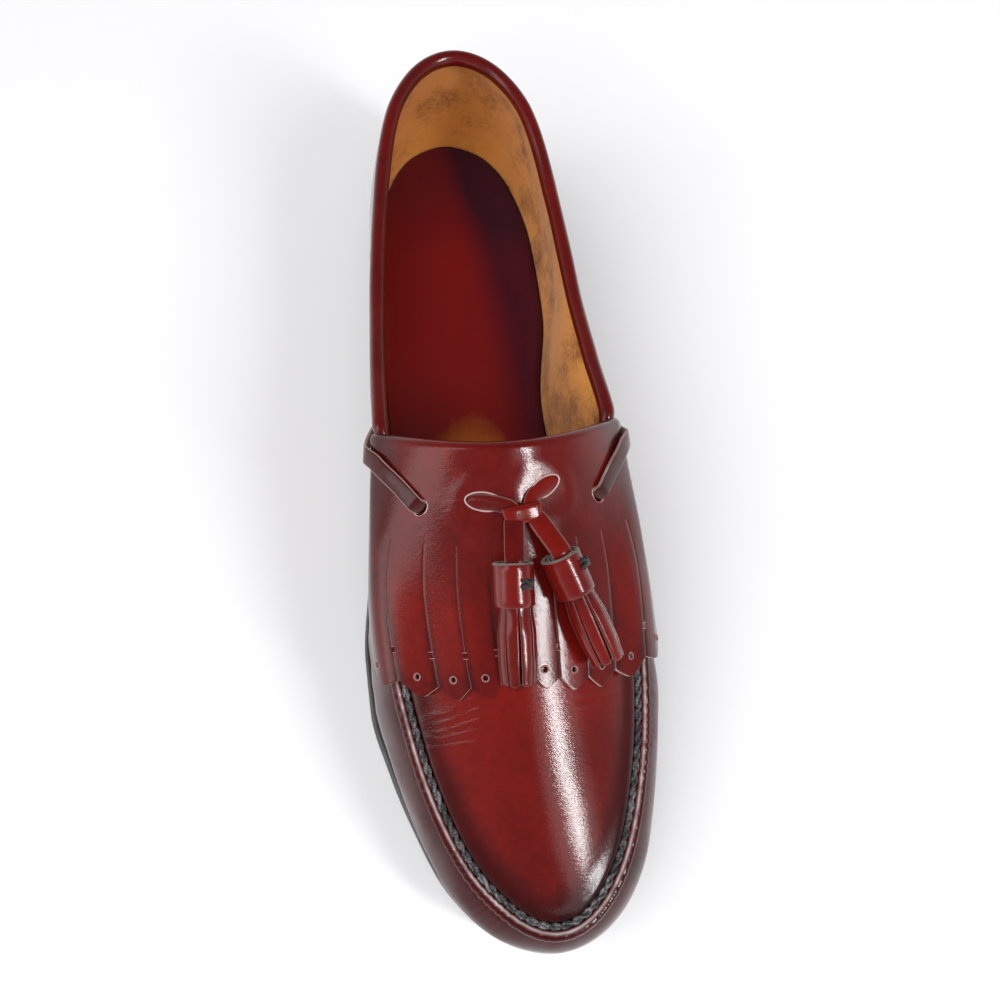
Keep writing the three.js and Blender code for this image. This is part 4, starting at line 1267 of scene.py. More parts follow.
def kiltie():
    strip_width = 2 / KILTIE_STRIPS
    half_slit = 0.32 * SLIT_WIDTH / BALL_WIDTH
    rows = np.concatenate(
        [np.linspace(0, SLIT_TOP, 34)[:-1], np.linspace(SLIT_TOP, SLIT_END, 56)[:-1], [SLIT_END]]
    )
    rows = np.concatenate(
        [rows, np.linspace(SLIT_END, SLIT_BRIDGE, 5)[1:], np.linspace(SLIT_BRIDGE, 1, 28)[1:]]
    )
    cells = np.linspace(0, 1, STRIP_CELLS + 1)
    across = []
    inside = []
    for strip in range(KILTIE_STRIPS):
        left = -1 + strip * strip_width + (half_slit if strip else 0)
        right = -1 + (strip + 1) * strip_width - (half_slit if strip < KILTIE_STRIPS - 1 else 0)
        across.extend(left + (right - left) * cells)
        inside.extend(cells)
    across = np.array(across)[None, :]
    inside = np.array(inside)[None, :]
    strip_of = np.repeat(np.arange(KILTIE_STRIPS), STRIP_CELLS + 1)
    point_of_tip = np.sqrt((2 * inside - 1) ** 2 + 0.004)
    reach = rows[:, None] * (1 + 0 * inside)
    tip = smooth_step(SLIT_BRIDGE, 1, rows)[:, None]
    reach = reach - 1.05 * (1 - NOTCH) * point_of_tip * tip
    fringe = smooth_step(SLIT_TOP, SLIT_END, rows)[:, None]
    lifts = np.array(STRIP_LIFTS)[strip_of][None, :]
    crown = 0.1 * (1 - (2 * inside - 1) ** 4)
    tilt = 0.22 * (2 * inside - 1) * np.where(strip_of % 2 == 0, 1, -1)[None, :]
    above = KILTIE_THICKNESS + fringe * (0.5 * lifts + crown + tilt) - 0.1 * fringe
    point, normal, lift = kiltie_frame(across + 0 * reach, reach)
    near_edge = np.minimum(1 - np.abs(across), 1)
    soft = -0.28 * (1 - smooth_step(0, 0.035, near_edge + 0 * reach))
    bumpy = 0.14 * noise_wave(point, 26, 51)
    lace_dents = 0
    for hole_x, hole_s in LACE_HOLES:
        gap = np.hypot(point[..., 0] - hole_x, (HEEL_CENTRE - point[..., 1]) - hole_s)
        lace_dents = lace_dents + 0.3 * np.exp(-(((gap - 8) / 2.6) ** 2)) - 0.3 * np.exp(-((gap / 5) ** 2))
    top = point + normal * (KILTIE_GAP + lift + above + soft + bumpy + lace_dents)[..., None]
    under = top - normal * (KILTIE_THICKNESS - 0.2)
    back = unit(top[0] - top[1])
    back = unit(back - normal[0] * np.sum(back * normal[0], -1, keepdims=True))
    curls = np.radians(np.linspace(128, 9, 13))[:, None, None]
    arm = normal[0] * np.cos(curls) + back * np.sin(curls)
    hub = top[0] - normal[0] * CURL_RADIUS
    top = np.concatenate([hub + arm * CURL_RADIUS, top])
    under = np.concatenate([hub + arm * (CURL_RADIUS - KILTIE_THICKNESS + 0.2), under])
    count = across.shape[1]
    faces = []
    curl_rows = len(curls)
    for row in range(len(rows) - 1 + curl_rows):
        at = row - curl_rows
        cut = at >= 0 and (
            (rows[at] >= SLIT_TOP - 1e-9 and rows[at + 1] <= SLIT_END + 1e-9)
            or rows[at] >= SLIT_BRIDGE - 1e-9
        )
        for line in range(count - 1):
            if cut and strip_of[line] != strip_of[line + 1]:
                continue
            a = row * count + line
            faces.append([a, a + 1, a + 1 + count, a + count])
    near_slit = np.minimum(inside, 1 - inside)
    # Painted shade: darker beside the slits and where the flap turns down at its sides; the strip tips are
    # darker too
    tone_and_shade = 0.3 + 0.25 * fringe * (1 - smooth_step(0, 0.2, near_slit)) - 0.1 * fringe
    tone_and_shade = tone_and_shade + 0.3 * smooth_step(0.72, 1, np.abs(across)) + 0.12 * tip
    tone_and_shade = np.concatenate([np.broadcast_to(tone_and_shade[:1], (curl_rows, count)), tone_and_shade])
    thing = add_loose_shell(
        "kiltie",
        top.reshape(-1, 3),
        under.reshape(-1, 3),
        faces,
        [OXBLOOD, RAW_EDGE],
        {"tone_and_shade": tone_and_shade.reshape(-1), "wrinkle": pulled_lines(top.reshape(-1, 3))},
    )
    return thing


# Holes for the lace: each one's middle and the end that is nearer to the knot, by x and s
LACE_HOLES = [(-9.2, 182.9), (9.3, 180.2)]
LACE_HOLE_ENDS = [(-3.4, 184.0), (4.0, 183.4)]
LACE_HOLE_POINTS = [0.15, 0.6]
HOLE_LENGTH = 12.4
HOLE_HALF_WIDTH = 2.9
kiltie_flap = kiltie()


def cut_holes(thing, cutters):
    """Cuts closed cutter meshes out of a piece and keeps the result; the cut walls take the raw edge."""
    points = []
    faces = []
    for ring_points, ring_faces in cutters:
        start = sum(len(p) for p in points)
        faces.extend([[c + start for c in f] for f in ring_faces])
        points.append(ring_points)
    cutter = add_mesh("cutter", np.concatenate(points), faces, [OXBLOOD, RAW_EDGE], [1] * len(faces))
    modifier = thing.modifiers.new("cut", "BOOLEAN")
    modifier.operation = "DIFFERENCE"
    modifier.solver = "EXACT"
    modifier.object = cutter
    keep_modifiers(thing)
    bpy.data.objects.remove(cutter)


def keep_modifiers(thing):
    graph = bpy.context.evaluated_depsgraph_get()
    mesh = bpy.data.meshes.new_from_object(thing.evaluated_get(graph))
    thing.modifiers.clear()
    thing.data = mesh


def prism(centre, normal, along, radius, height, length=None, sides=20, point=0.0):
    """A closed round or drop-shaped prism along the normal; length makes it an oval along a direction."""
    forward = unit(along - normal * np.dot(along, normal))
    aside = np.cross(forward, normal)
    half = (length or 2 * radius) / 2
    ring = np.linspace(0, 2 * np.pi, sides + 1)[:-1]
    narrow = 1 - point * np.maximum(np.cos(ring), 0) ** 1.5
    edge = forward * (np.cos(ring) * half)[:, None] + aside * (np.sin(ring) * radius * narrow)[:, None]
    points = np.concatenate([centre + edge - normal * height / 2, centre + edge + normal * height / 2])
    faces = [[k, (k + 1) % sides, (k + 1) % sides + sides, k + sides] for k in range(sides)]
    faces += [list(range(sides))[::-1], [k + sides for k in range(sides)]]
    if volume_of(points, [f for f in faces if len(f) == 4]) < 0:
        faces = [f[::-1] for f in faces]
    return points, faces


# Strap ends that run from the kiltie over the throat's corners
STRAP_ROUTE = [
    ["step", "share", "down", "lift"],
    [0, STRAP_END_SHARE, STRAP_END_DOWN, 1],
    [0.3, 0.532, 0.8, 1.15],
    [0.55, 0.508, 0.95, 1.5],
    [0.75, 0.487, 1.09, 1.25],
    [1, 0.455, 1.19, 0],
    [1.3, 0.425, 1.23, 0],
]
strap_share = curve(STRAP_ROUTE, "share")
strap_down = curve(STRAP_ROUTE, "down")
strap_lift = curve(STRAP_ROUTE, "lift")


def strap_run(side, step):
    """Points under the strap and their normals; the strap dives into its slot at step 0."""
    on_flap = KILTIE_GAP + KILTIE_THICKNESS + FIT
    angle = angle_of_share(strap_share(step))
    down = strap_down(step)
    normal_down = np.where(angle < THROAT_ANGLE, np.maximum(down, 1.01), down)
    normal = skin_normal(side, angle, normal_down)
    lift = FIT + 0.25 + (on_flap + 0.3 - FIT) * strap_lift(step)
    dive = 2.8 * (1 - smooth_step(0, 0.1, step)) + 1.7 * smooth_step(1.2, 1.3, step)
    return skin_point(side, angle, down) + normal * (lift - dive)[..., None], normal


def strap_slot(side):
    """Middle of the strap's slot in the kiltie, the strap's direction and the surface normal there."""
    run, normals = strap_run(side, np.array([0.05, 0.25]))
    normal = normals[0]
    ahead = unit(run[1] - run[0])
    angle = angle_of_share(strap_share(0.03))
    seat = skin_point(side, angle, strap_down(0.03)) + normal * (KILTIE_GAP + KILTIE_THICKNESS / 2)
    return seat, ahead, normal


def ring_mesh(seat, normal, along, radius, length, point, thick):
    """Points and faces of a thin lip that runs round a hole."""
    loop = np.asarray(prism(seat, normal, along, radius, 0, length, 72, point)[0])[:72]
    loop = loop + normal * (0.1 * noise_wave(loop, 5, 91))[:, None]
    ahead = unit(np.roll(loop, -1, 0) - np.roll(loop, 1, 0))
    aside = np.cross(ahead, normal)
    ring = np.linspace(0, 2 * np.pi, 9)[:-1]
    points = loop[:, None] + thick * (
        aside[:, None] * np.cos(ring)[None, :, None] + normal * np.sin(ring)[None, :, None]
    )
    count = len(loop)
    faces = []
    for i in range(count):
        for k in range(8):
            after = (i + 1) % count
            faces.append([i * 8 + k, i * 8 + (k + 1) % 8, after * 8 + (k + 1) % 8, after * 8 + k])
    points = points.reshape(-1, 3)
    if volume_of(points, faces) < 0:
        faces = [f[::-1] for f in faces]
    return points, faces


def join_meshes(parts):
    points = []
    faces = []
    start = 0
    for more, sides in parts:
        points.append(more)
        faces += [[c + start for c in f] for f in sides]
        start += len(more)
    return np.concatenate(points), faces


def kiltie_holes():
    cutters = []
    rims = []
    punch_rims = []
    strip_width = 2 / KILTIE_STRIPS
    toewards = np.array([0.0, -1, 0])
    for strip in range(KILTIE_STRIPS):
        across = -1 + (strip + 0.5) * strip_width
        centre = kiltie_point(across, PUNCH_ALONG, KILTIE_THICKNESS / 2)
        _, normal, _ = kiltie_frame(across, PUNCH_ALONG)
        cutters.append(prism(centre, normal, toewards, PUNCH_RADIUS, 5))
        lip = kiltie_point(across, PUNCH_ALONG, KILTIE_THICKNESS + 0.16 + 0.5 * STRIP_LIFTS[strip])
        punch_rims.append(ring_mesh(lip, normal, toewards, PUNCH_RADIUS + 0.1, None, 0.0, 0.24))
    for strip in range(1, KILTIE_STRIPS):
        across = -1 + strip * strip_width
        _, normal, _ = kiltie_frame(across, SLIT_END)
        lift = 0.25 * (STRIP_LIFTS[strip - 1] + STRIP_LIFTS[strip])
        for along in (SLIT_END, SLIT_BRIDGE):
            seat = kiltie_point(across, along, KILTIE_THICKNESS + 0.12 + lift)
            punch_rims.append(prism(seat, normal, np.array([1.0, 0, 0]), 0.15, 0.3, 2.0, 10))
    for (x, s), (end_x, end_s), point in zip(LACE_HOLES, LACE_HOLE_ENDS, LACE_HOLE_POINTS):
        seat, normal, _ = on_kiltie(x, s, -KILTIE_THICKNESS / 2)
        inwards = np.array([end_x - x, s - end_s, 0.0])
        cutters.append(prism(seat, normal, inwards, HOLE_HALF_WIDTH, 6, HOLE_LENGTH, 36, point))
        lip = on_kiltie(x, s, -0.1)[0]
        rims.append(ring_mesh(lip, normal, inwards, HOLE_HALF_WIDTH, HOLE_LENGTH, point, 0.3))
    for side in (-1, 1):
        seat, ahead, normal = strap_slot(side)
        cutters.append(prism(seat, normal, ahead, 3.0, 5, 4.4, 28, 0.0))
        lip = seat + normal * (KILTIE_THICKNESS / 2 - 0.12)
        rims.append(ring_mesh(lip, normal, ahead, 3.0, 4.4, 0.0, 0.3))
    cut_holes(kiltie_flap, cutters)
    bevel(kiltie_flap, 0.2, 40, 2)
    finish_piece(kiltie_flap, ["kiltie"])
    # The lips are painted pale: round the punched holes as a painted highlight; the slit-end marks and the
    # lace-hole and slot lips get the same pale colour
    for name, parts, wear in (("lace_hole_rims", rims, 0.5), ("punched_hole_rims", punch_rims, 0.22)):
        lips = add_mesh(name, *join_meshes(parts), [OXBLOOD])
        shade_piece(lips, wear, "wear")
        finish_piece(lips)


kiltie_holes()


def band_section(width, thickness, crown=0.25):
    """A flat strip's section with soft corners and a slightly domed top, from under the strip upwards."""
    corner = min(0.5, thickness / 3)
    top = []
    for x in np.linspace(-1, 1, 11):
        top.append((x * (width / 2 - corner), thickness + crown * (1 - x * x)))
    right = [(width / 2 - corner * 0.3, thickness - corner * 0.3), (width / 2, thickness - corner)]
    right += [(width / 2, corner), (width / 2 - corner * 0.3, corner * 0.3)]
    left = [(-a, b) for a, b in right[::-1]]
    bottom = [(width / 2 - corner, 0), (-width / 2 + corner, 0)]
    points = top + right + bottom + left
    slots = [0] * 10 + [0, 1, 1, 1, 1] + [1] * 2 + [1, 1, 1] + [1] * (len(points) - 20)
    return points, slots[:len(points)]


def side_straps():
    for name, side in SIDES:
        step = np.linspace(0.02, 1.3, 90)
        run, normal = strap_run(side, step)
        section, slots = band_section(STRAP_WIDTH - 0.4, 1.1, 0.1)
        size = np.sqrt(np.clip(1 - (1 - np.minimum(step / 0.1, 1)) ** 2, 0.15, 1))
        thing = sweep(f"strap_{name}", run, normal, section, [OXBLOOD, RAW_EDGE], slots, widths=size)
        shade_piece(thing, 0.62)
        finish_piece(thing, [f"strap_{name}"])


side_straps()


# The lace: each half comes up through its hole, dips under the knot and runs to its tassel
TASSEL_LENGTH = CAP_LENGTH + FRINGE_LENGTH
TASSELS = [
    {"name": "outer", "side": -1, "stem": -0.064, "cap": (-0.099, 0.34), "tip": (-0.12, 1.19)},
    {"name": "inner", "side": 1, "stem": 0.09, "cap": (0.235, 0.3), "tip": (0.56, 1.15)},
]


def beside_knot(x, s, above):
    return on_kiltie(KNOT_X + TASSEL_LENGTH * x, KNOT_S + TASSEL_LENGTH * s, above)[0]


def tassel_axis(tassel):
    start = beside_knot(*tassel["cap"], 2 * FIT + CAP_RADIUS)
    direction = unit(beside_knot(*tassel["tip"], 3 * FIT + FRINGE_RADIUS) - start)
    return start, direction


def smooth_run(points, count, rounds=60):
    """An even run through a few points, with its corners rounded; the ends stay."""
    points = np.asarray(points, float)
    length = np.concatenate([[0], np.cumsum(np.linalg.norm(np.diff(points, axis=0), axis=1))])
    even = np.linspace(0, length[-1], count)
    run = np.stack([np.interp(even, length, points[:, k]) for k in range(3)], 1)
    for _ in range(rounds):
        run[1:-1] = 0.5 * run[1:-1] + 0.25 * (run[:-2] + run[2:])
    return run


LACE_RIBBON = 5.0
STEM_RIBBON = 6.4
RIBBON_THICKNESS = 1.2

# Each lace half along its hole and to the knot: x, s and height over the kiltie
LOOP_ROUTES = [
    [(-14.6, 182.0, -1.2), (-9.2, 182.9, -0.8), (-5.6, 183.8, -0.1), (-3.2, 184.6, 0.7), (-0.8, 185.4, 1.2)],
    [(14.4, 177.3, -1.5), (9.3, 180.2, -1.2), (6.0, 182.2, -0.5), (4.8, 183.6, 0.5), (4.4, 185.2, 1.2)],
]


def lace_half(tassel, route):
    """One half of the lace: along its hole, over the hole's end, under the knot and into the tassel's cap."""
    start, direction = tassel_axis(tassel)
    from_x = KNOT_X + TASSEL_LENGTH * tassel["stem"]
    seats = [on_kiltie(*point) for point in route]
    seats += [on_kiltie(from_x, KNOT_S, 1.7)]
    up = seats[-1][1]
    points = [seat[0] for seat in seats]
    points += [start - direction * 0.4 + up * 1.6, start + direction * 3.6 + up * 0.9]
    ups = [seat[1] for seat in seats] + [up, up]
    run = smooth_run(points, 130)
    long = np.concatenate([[0], np.cumsum(np.linalg.norm(np.diff(run, axis=0), axis=1))])
    share = np.linspace(0, 1, len(ups))
    even = np.linspace(0, 1, len(run))
    normals = unit(np.stack([np.interp(even, share, np.array(ups)[:, k]) for k in range(3)], 1))
    round_end = np.sqrt(np.clip(1 - (1 - np.minimum(long / 2.4, 1)) ** 2, 0.02, 1))
    from_end = long[-1] - long
    size = LACE_RIBBON + (STEM_RIBBON - LACE_RIBBON) * smooth_step(0, 3, long - long[-1] + 19)
    size = size / LACE_RIBBON * round_end * (0.93 + 0.07 * smooth_step(2, 5, from_end))
    section, slots = band_section(LACE_RIBBON, RIBBON_THICKNESS, 0.4)
    name = tassel["name"]
    thing = sweep(f"lace_{name}", run, normals, section, [OXBLOOD, RAW_RED], slots, widths=size)
    # The low values paint the lace halves bright; on the outer half this is a painted reflection
    shade_piece(thing, 0.15 if name == "inner" else 0.3)
    finish_piece(thing, [f"lace_loop_{name}", f"lace_end_{name}"])
    return thing, run * MM, float(long[-1] * MM)


# The knot is a flat wrap of the lace, thinner at its ends
def knot():
    seat, up, _ = on_kiltie(KNOT_X, KNOT_S, FIT)
    sideways = unit(np.array([1, 0.12, 0]))
    up = unit(up - sideways * np.dot(up, sideways))
    ahead = np.cross(up, sideways)
    if ahead[1] > 0:
        ahead = -ahead
    turns = np.linspace(0, 2 * np.pi, 49)[:-1]
    reach = np.linspace(-1, 1, 41)
    points = []
    for q in reach:
        end = max(1 - abs(q) ** 9, 0) ** 0.5
        wide = 3.0 * (0.75 + 0.25 * end) * (1 + 0.05 * q)
        high = 1.9 * (0.5 + 0.5 * end)
        fold = 0.03 * math.cos(9 * q + 0.8)
        a = np.sign(np.cos(turns)) * np.abs(np.cos(turns)) ** 0.55 * (wide - fold)
        b = np.sign(np.sin(turns)) * np.abs(np.sin(turns)) ** 0.62 * (high - fold)
        taper = 1 - 0.1 * a / 3.0
        height = 2.2 - 0.5 * abs(q) ** 3
        aside = sideways * (q * 6.0 * taper)[:, None]
        points.append(seat + aside + ahead * a[:, None] + up * (height + b)[:, None])
    flat, quads, ends = tube(np.array(points))
    thing = add_mesh("lace_knot", flat, quads + ends, [OXBLOOD])
    shade_piece(thing, 0.12)
    return finish_piece(thing, ["lace_knot"])


def lace():
    wrap = knot()
    for tassel, route in zip(TASSELS, LOOP_ROUTES):
        thing, path, length = lace_half(tassel, route)


lace()


# Tassels: a rolled strip of leather, whole at the cap and cut into strips below
CAP_WALL = 1.35
CAP_TURNS = 2.6


def axis_frame(direction):
    sideways = unit(np.cross([0, 0, 1.0], direction))
    return sideways, np.cross(direction, sideways)


def tassel_cap(tassel):
    start, direction = tassel_axis(tassel)
    sideways, up = axis_frame(direction)
    turn = np.linspace(0, 2 * np.pi * CAP_TURNS, 210)
    radius = CAP_RADIUS - CAP_WALL / 2 - CAP_WALL * 1.22 * turn / (2 * np.pi)
    radius = np.maximum(radius, 1.1) + 0.08 * np.sin(3 * turn)
    around = -turn - 1.9
    middle = start + sideways * (radius * np.cos(around))[:, None] + up * (radius * np.sin(around))[:, None]
    half = CAP_WALL / 2
    section = []
    slots = []
    for along, out, slot in (
        (0.0, -0.35, 1), (0.0, 0.35, 1), (0.12, 0.52, 1), (0.5, half, 0), (2.5, half, 0),
        (CAP_LENGTH - 2, half, 0), (CAP_LENGTH - 0.5, half, 0), (CAP_LENGTH, 0.35, 1),
        (CAP_LENGTH, -0.35, 1), (CAP_LENGTH - 0.5, -half, 0), (0.5, -half, 1), (0.12, -0.52, 1),
    ):
        section.append((along, out))
        slots.append(slot)
    section = np.array(section)
    outwards = unit(middle - start)
    rise = 0.5 * smooth_step(3, 9, turn) + 0.2 * np.sin(1.7 * turn + 1) * smooth_step(1.5, 4, turn)
    points = (
        middle[:, None]
        + direction * (section[None, :, 0, None] + rise[:, None, None] * (section[None, :, 0, None] < 1))
        + outwards[:, None] * section[None, :, 1, None]
    )
    flat, quads, ends = tube(points)
    slot_of = [slots[k % len(slots)] for k in range(len(quads))] + [1, 1]
    thing = add_mesh(f"tassel_cap_{tassel['name']}", flat, quads + ends, [OXBLOOD, RAW_GREY], slot_of)
    shade_piece(thing, 0.2)
    bevel(thing, 0.15, 35, 2)
    finish_piece(thing, [f"tassel_{tassel['name']}"])


def tassel_fringe(tassel):
    start, direction = tassel_axis(tassel)
    sideways, up = axis_frame(direction)
    chance = np.random.default_rng(60 + tassel["side"])
    strips = []
    layers = ((FRINGE_RADIUS - 0.3, 8, 1.4), (FRINGE_RADIUS - 2.3, 6, 1.4), (FRINGE_RADIUS - 4.2, 3, 1.6))
    for ring, (radius, count, wall) in enumerate(layers):
        for k in range(count):
            middle_turn = 2 * np.pi * (k + 0.5) / count + 0.35 * ring
            half_turn = np.pi / count - 0.17 / radius
            along = np.linspace(-1.5, FRINGE_LENGTH * (1 - 0.03 * chance.uniform()), 46)
            share = np.clip(along / FRINGE_LENGTH, 0, 1)
            swell = 0.86 + 0.14 * smooth_step(0, 0.35, share) - 0.1 * smooth_step(0.6, 1, share) ** 1.5
            lean = chance.uniform(-0.05, 0.05)
            lift = chance.uniform(-0.3, 0.35)
            turned = middle_turn + lean * share
            squeeze = 1 - 0.1 * share
            end = np.sqrt(np.clip(1 - ((share - 0.93) / 0.07).clip(0, 1) ** 2, 0.05, 1))
            outline = []
            for q in np.linspace(-1, 1, 9):
                outline.append((q, 0.0, 0))
            outline.append((1.0, -0.28, 1))
            for q in np.linspace(1, -1, 7):
                outline.append((q * 0.97, -1.0, 0))
            outline.append((-1.0, -0.28, 1))
            section = np.array([o[:2] for o in outline])
            angle = turned[:, None] + half_turn * section[None, :, 0] * (squeeze * end)[:, None]
            bow = 0.1 * (1 - section[None, :, 0] ** 2) * smooth_step(0.05, 0.4, share)[:, None]
            size = (radius * swell + lift * share)[:, None] + bow + wall * section[None, :, 1]
            points = (
                start
                + direction * (CAP_LENGTH + along)[:, None, None]
                + sideways * (size * np.cos(angle))[..., None]
                + up * (size * np.sin(angle))[..., None]
            )
            strips.append((points, [o[2] for o in outline]))
    flat = []
    faces = []
    slots = []
    count = 0
    for points, slot_row in strips:
        piece, quads, ends = tube(points)
        faces += [[c + count for c in f] for f in quads + ends]
        slots += [slot_row[k % len(slot_row)] for k in range(len(quads))] + [1, 1]
        flat.append(piece)
        count += len(piece)
    thing = add_mesh(
        f"tassel_fringe_{tassel['name']}", np.concatenate(flat), faces, [OXBLOOD, RAW_RED], slots
    )
    points = np.concatenate(flat)
    from_axis = np.linalg.norm(np.cross(points - start, direction), axis=1)
    # Painted shade: the inner strips, near the tassel's axis, are darker
    shade_piece(thing, 0.22 + 0.6 * (1 - smooth_step(3.8, 5.6, from_axis)))
    finish_piece(thing)


def tassel_thread(tassel):
    """A small knot of dark thread on the front of the cap: wraps that lean over each other."""
    start, direction = tassel_axis(tassel)
    sideways, up = axis_frame(direction)
    turned = THREAD_TURNS[tassel["name"]]
    out = up * math.cos(turned) + sideways * math.sin(turned)
    aside = sideways * math.cos(turned) - up * math.sin(turned)
    ring = np.linspace(0, 2 * np.pi, 25)[:-1]
    for k, (lean, shift) in enumerate(((0.35, -0.55), (-0.3, 0.15), (0.1, 0.75), (-0.75, 0.1))):
        centre = start + direction * (THREAD_DOWN[tassel["name"]] + shift) + out * (CAP_RADIUS - 0.25)
        wide = aside * math.cos(lean) + direction * math.sin(lean)
        size = 2.0 - 0.35 * abs(shift)
        path = centre + wide * (size * np.cos(ring))[:, None] + out * (0.62 * np.sin(ring))[:, None]
        path = path + direction * (0.25 * np.sin(2 * ring))[:, None]
        ups = np.tile(unit(direction - wide * np.dot(direction, wide)), (24, 1))
        thing = sweep(
            f"tassel_thread_{tassel['name']}_{k + 1}",
            path,
            ups,
            oval(0.8, 0.8, 8),
            [DARK_THREAD],
            closed=True,
        )
        finish_piece(thing)


THREAD_TURNS = {"outer": 0.45, "inner": 0.7}
THREAD_DOWN = {"outer": 6.4, "inner": 4.6}

for tassel in TASSELS:
    tassel_cap(tassel)
    tassel_fringe(tassel)
    tassel_thread(tassel)


# Plates under the foot, swept from the heel to the toe with rounded edges
def plate(name, material, profile, angles, across=8, front_curve=0.0, flare=0.0):
    """profile lists (inset, height function of s) from the top edge over the side to the bottom edge."""
    rows = []
    last = angles[-1]
    whole = last > np.pi - 1e-6
    for angle in angles:
        wider = flare * float(smooth_step(0.4, 0.56, share_of_angle(angle)))
        inset_of = [p[0] - wider for p in profile]
        right = [beside_sole(1, angle, -i) for i in inset_of]
        left = [beside_sole(-1, angle, -i) for i in inset_of]
        front = front_curve if (angle == last and not whole) else 0.0
        row = [(x, s, z(s)) for (x, s), (_, z) in zip(right, profile)]
        for mix in np.linspace(0, 1, across + 1)[1:-1]:
            x = right[-1][0] + (left[-1][0] - right[-1][0]) * mix
            s = right[-1][1] + (left[-1][1] - right[-1][1]) * mix - front * (1 - (2 * mix - 1) ** 2)
            row.append((x, s, profile[-1][1](s)))
        row += [(x, s, z(s)) for (x, s), (_, z) in list(zip(left, profile))[::-1]]
        for mix in np.linspace(1, 0, across + 1)[1:-1]:
            x = right[0][0] + (left[0][0] - right[0][0]) * mix
            s = right[0][1] + (left[0][1] - right[0][1]) * mix - front * (1 - (2 * mix - 1) ** 2)
            row.append((x, s, profile[0][1](s)))
        rows.append(row)
    points = np.array(rows, float)
    flat = place(points[..., 0], points[..., 1], points[..., 2]).reshape(-1, 3)
    count, columns = points.shape[:2]
    faces = grid_faces(count, columns, wrap=True).tolist()
    if not whole:
        start = (count - 1) * columns
        edge = len(profile)
        faces.append([start + k for k in range(edge)] + [start + edge, start + columns - 1])
        for k in range(across - 2):
            low = start + edge + k
            high = start + columns - 1 - k
            faces.append([low, low + 1, high - 1, high])
        faces.append([start + edge + across - 2 + k for k in range(edge + 1)])
    points, faces, _, _ = weld(flat, faces, 0.002)
    return add_mesh(name, points, faces, [material])


WHOLE = np.concatenate([np.linspace(0, 0.25, 24)[:-1], np.linspace(0.25, np.pi - 0.25, 200)[:-1],
                        np.linspace(np.pi - 0.25, np.pi, 24)])
BREAST_ANGLE = float(angle_of_share(HEEL_LENGTH / SOLE_LENGTH))
HEEL_PART = np.concatenate([np.linspace(0, 0.25, 24)[:-1], np.linspace(0.25, BREAST_ANGLE - 0.05, 60),
                            [BREAST_ANGLE]])


def raised(base, rise):
    return lambda s: base(s) + rise


def between(low, high, mix):
    return lambda s: low(s) + (high(s) - low(s)) * mix


def flat_at(height):
    return lambda s: height + 0 * np.asarray(s, float)


def taper_at(height):
    return HEEL_TAPER * (1 - height / HEEL_HEIGHT)


# The edge of the forepart stands a little prouder than the solid's
SOLE_FLARE = 1.0


def soles():
    outsole = plate(
        "outsole",
        SOLE_EDGE,
        [
            (1.4, outsole_top),
            (0.5, raised(outsole_top, -0.12)),
            (0.1, raised(outsole_top, -0.6)),
            (0, raised(outsole_top, -1.4)),
            (0, raised(sole_underside, 1.6)),
            (0.25, raised(sole_underside, 0.6)),
            (0.8, raised(sole_underside, 0.12)),
            (2.2, sole_underside),
        ],
        WHOLE,
        flare=SOLE_FLARE,
    )
    finish_piece(outsole, ["outsole"])
    lifts = 3
    bottom = flat_at(TOP_LIFT_THICKNESS)
    top = raised(sole_underside, -FIT)
    for k in range(lifts):
        low = between(bottom, top, k / lifts)
        high = between(bottom, top, (k + 1) / lifts)
        inset = taper_at(TOP_LIFT_THICKNESS + (HEEL_HEIGHT - TOP_LIFT_THICKNESS) * (k + 0.5) / lifts)
        lift = plate(
            f"heel_lift_{k + 1}",
            SOLE_EDGE,
            [
                (inset + 1.2, raised(high, -0.03)),
                (inset + 0.25, raised(high, -0.1)),
                (inset, raised(high, -0.5)),
                (inset, raised(low, 0.5)),
                (inset + 0.25, raised(low, 0.1)),
                (inset + 1.2, raised(low, 0.03)),
            ],
            HEEL_PART,
            front_curve=BREAST_CURVE,
        )
        finish_piece(lift, ["heel_stack"])
    ground = taper_at(0)
    rubber_top = flat_at(TOP_LIFT_THICKNESS)
    floor = flat_at(0)
    top_lift = plate(
        "heel_top_lift",
        RUBBER,
        [
            (ground + 1.2, raised(rubber_top, -0.03)), (ground + 0.3, raised(rubber_top, -0.12)),
            (ground, raised(rubber_top, -0.6)), (ground, raised(floor, 0.7)), (ground + 0.5, raised(floor, 0.1)),
            (ground + 1.4, floor),
        ],
        HEEL_PART,
        front_curve=BREAST_CURVE,
    )
    finish_piece(top_lift, ["heel_top_lift"])
    upper_side = lambda s: welt_top(s) - 0.02
    under_side = lambda s: outsole_top(s) + 0.05
    welt = plate(
        "welt",
        WELT_EDGE,
        [
            (1.6, upper_side), (0.9, raised(upper_side, -0.14)), (0.45, raised(upper_side, -0.7)),
            (0.4, raised(upper_side, -1.5)), (0.5, raised(under_side, 0.9)), (1.0, raised(under_side, 0.35)),
            (1.8, under_side),
        ],
        WHOLE,
        flare=SOLE_FLARE,
    )
    finish_piece(welt, ["welt"])


soles()


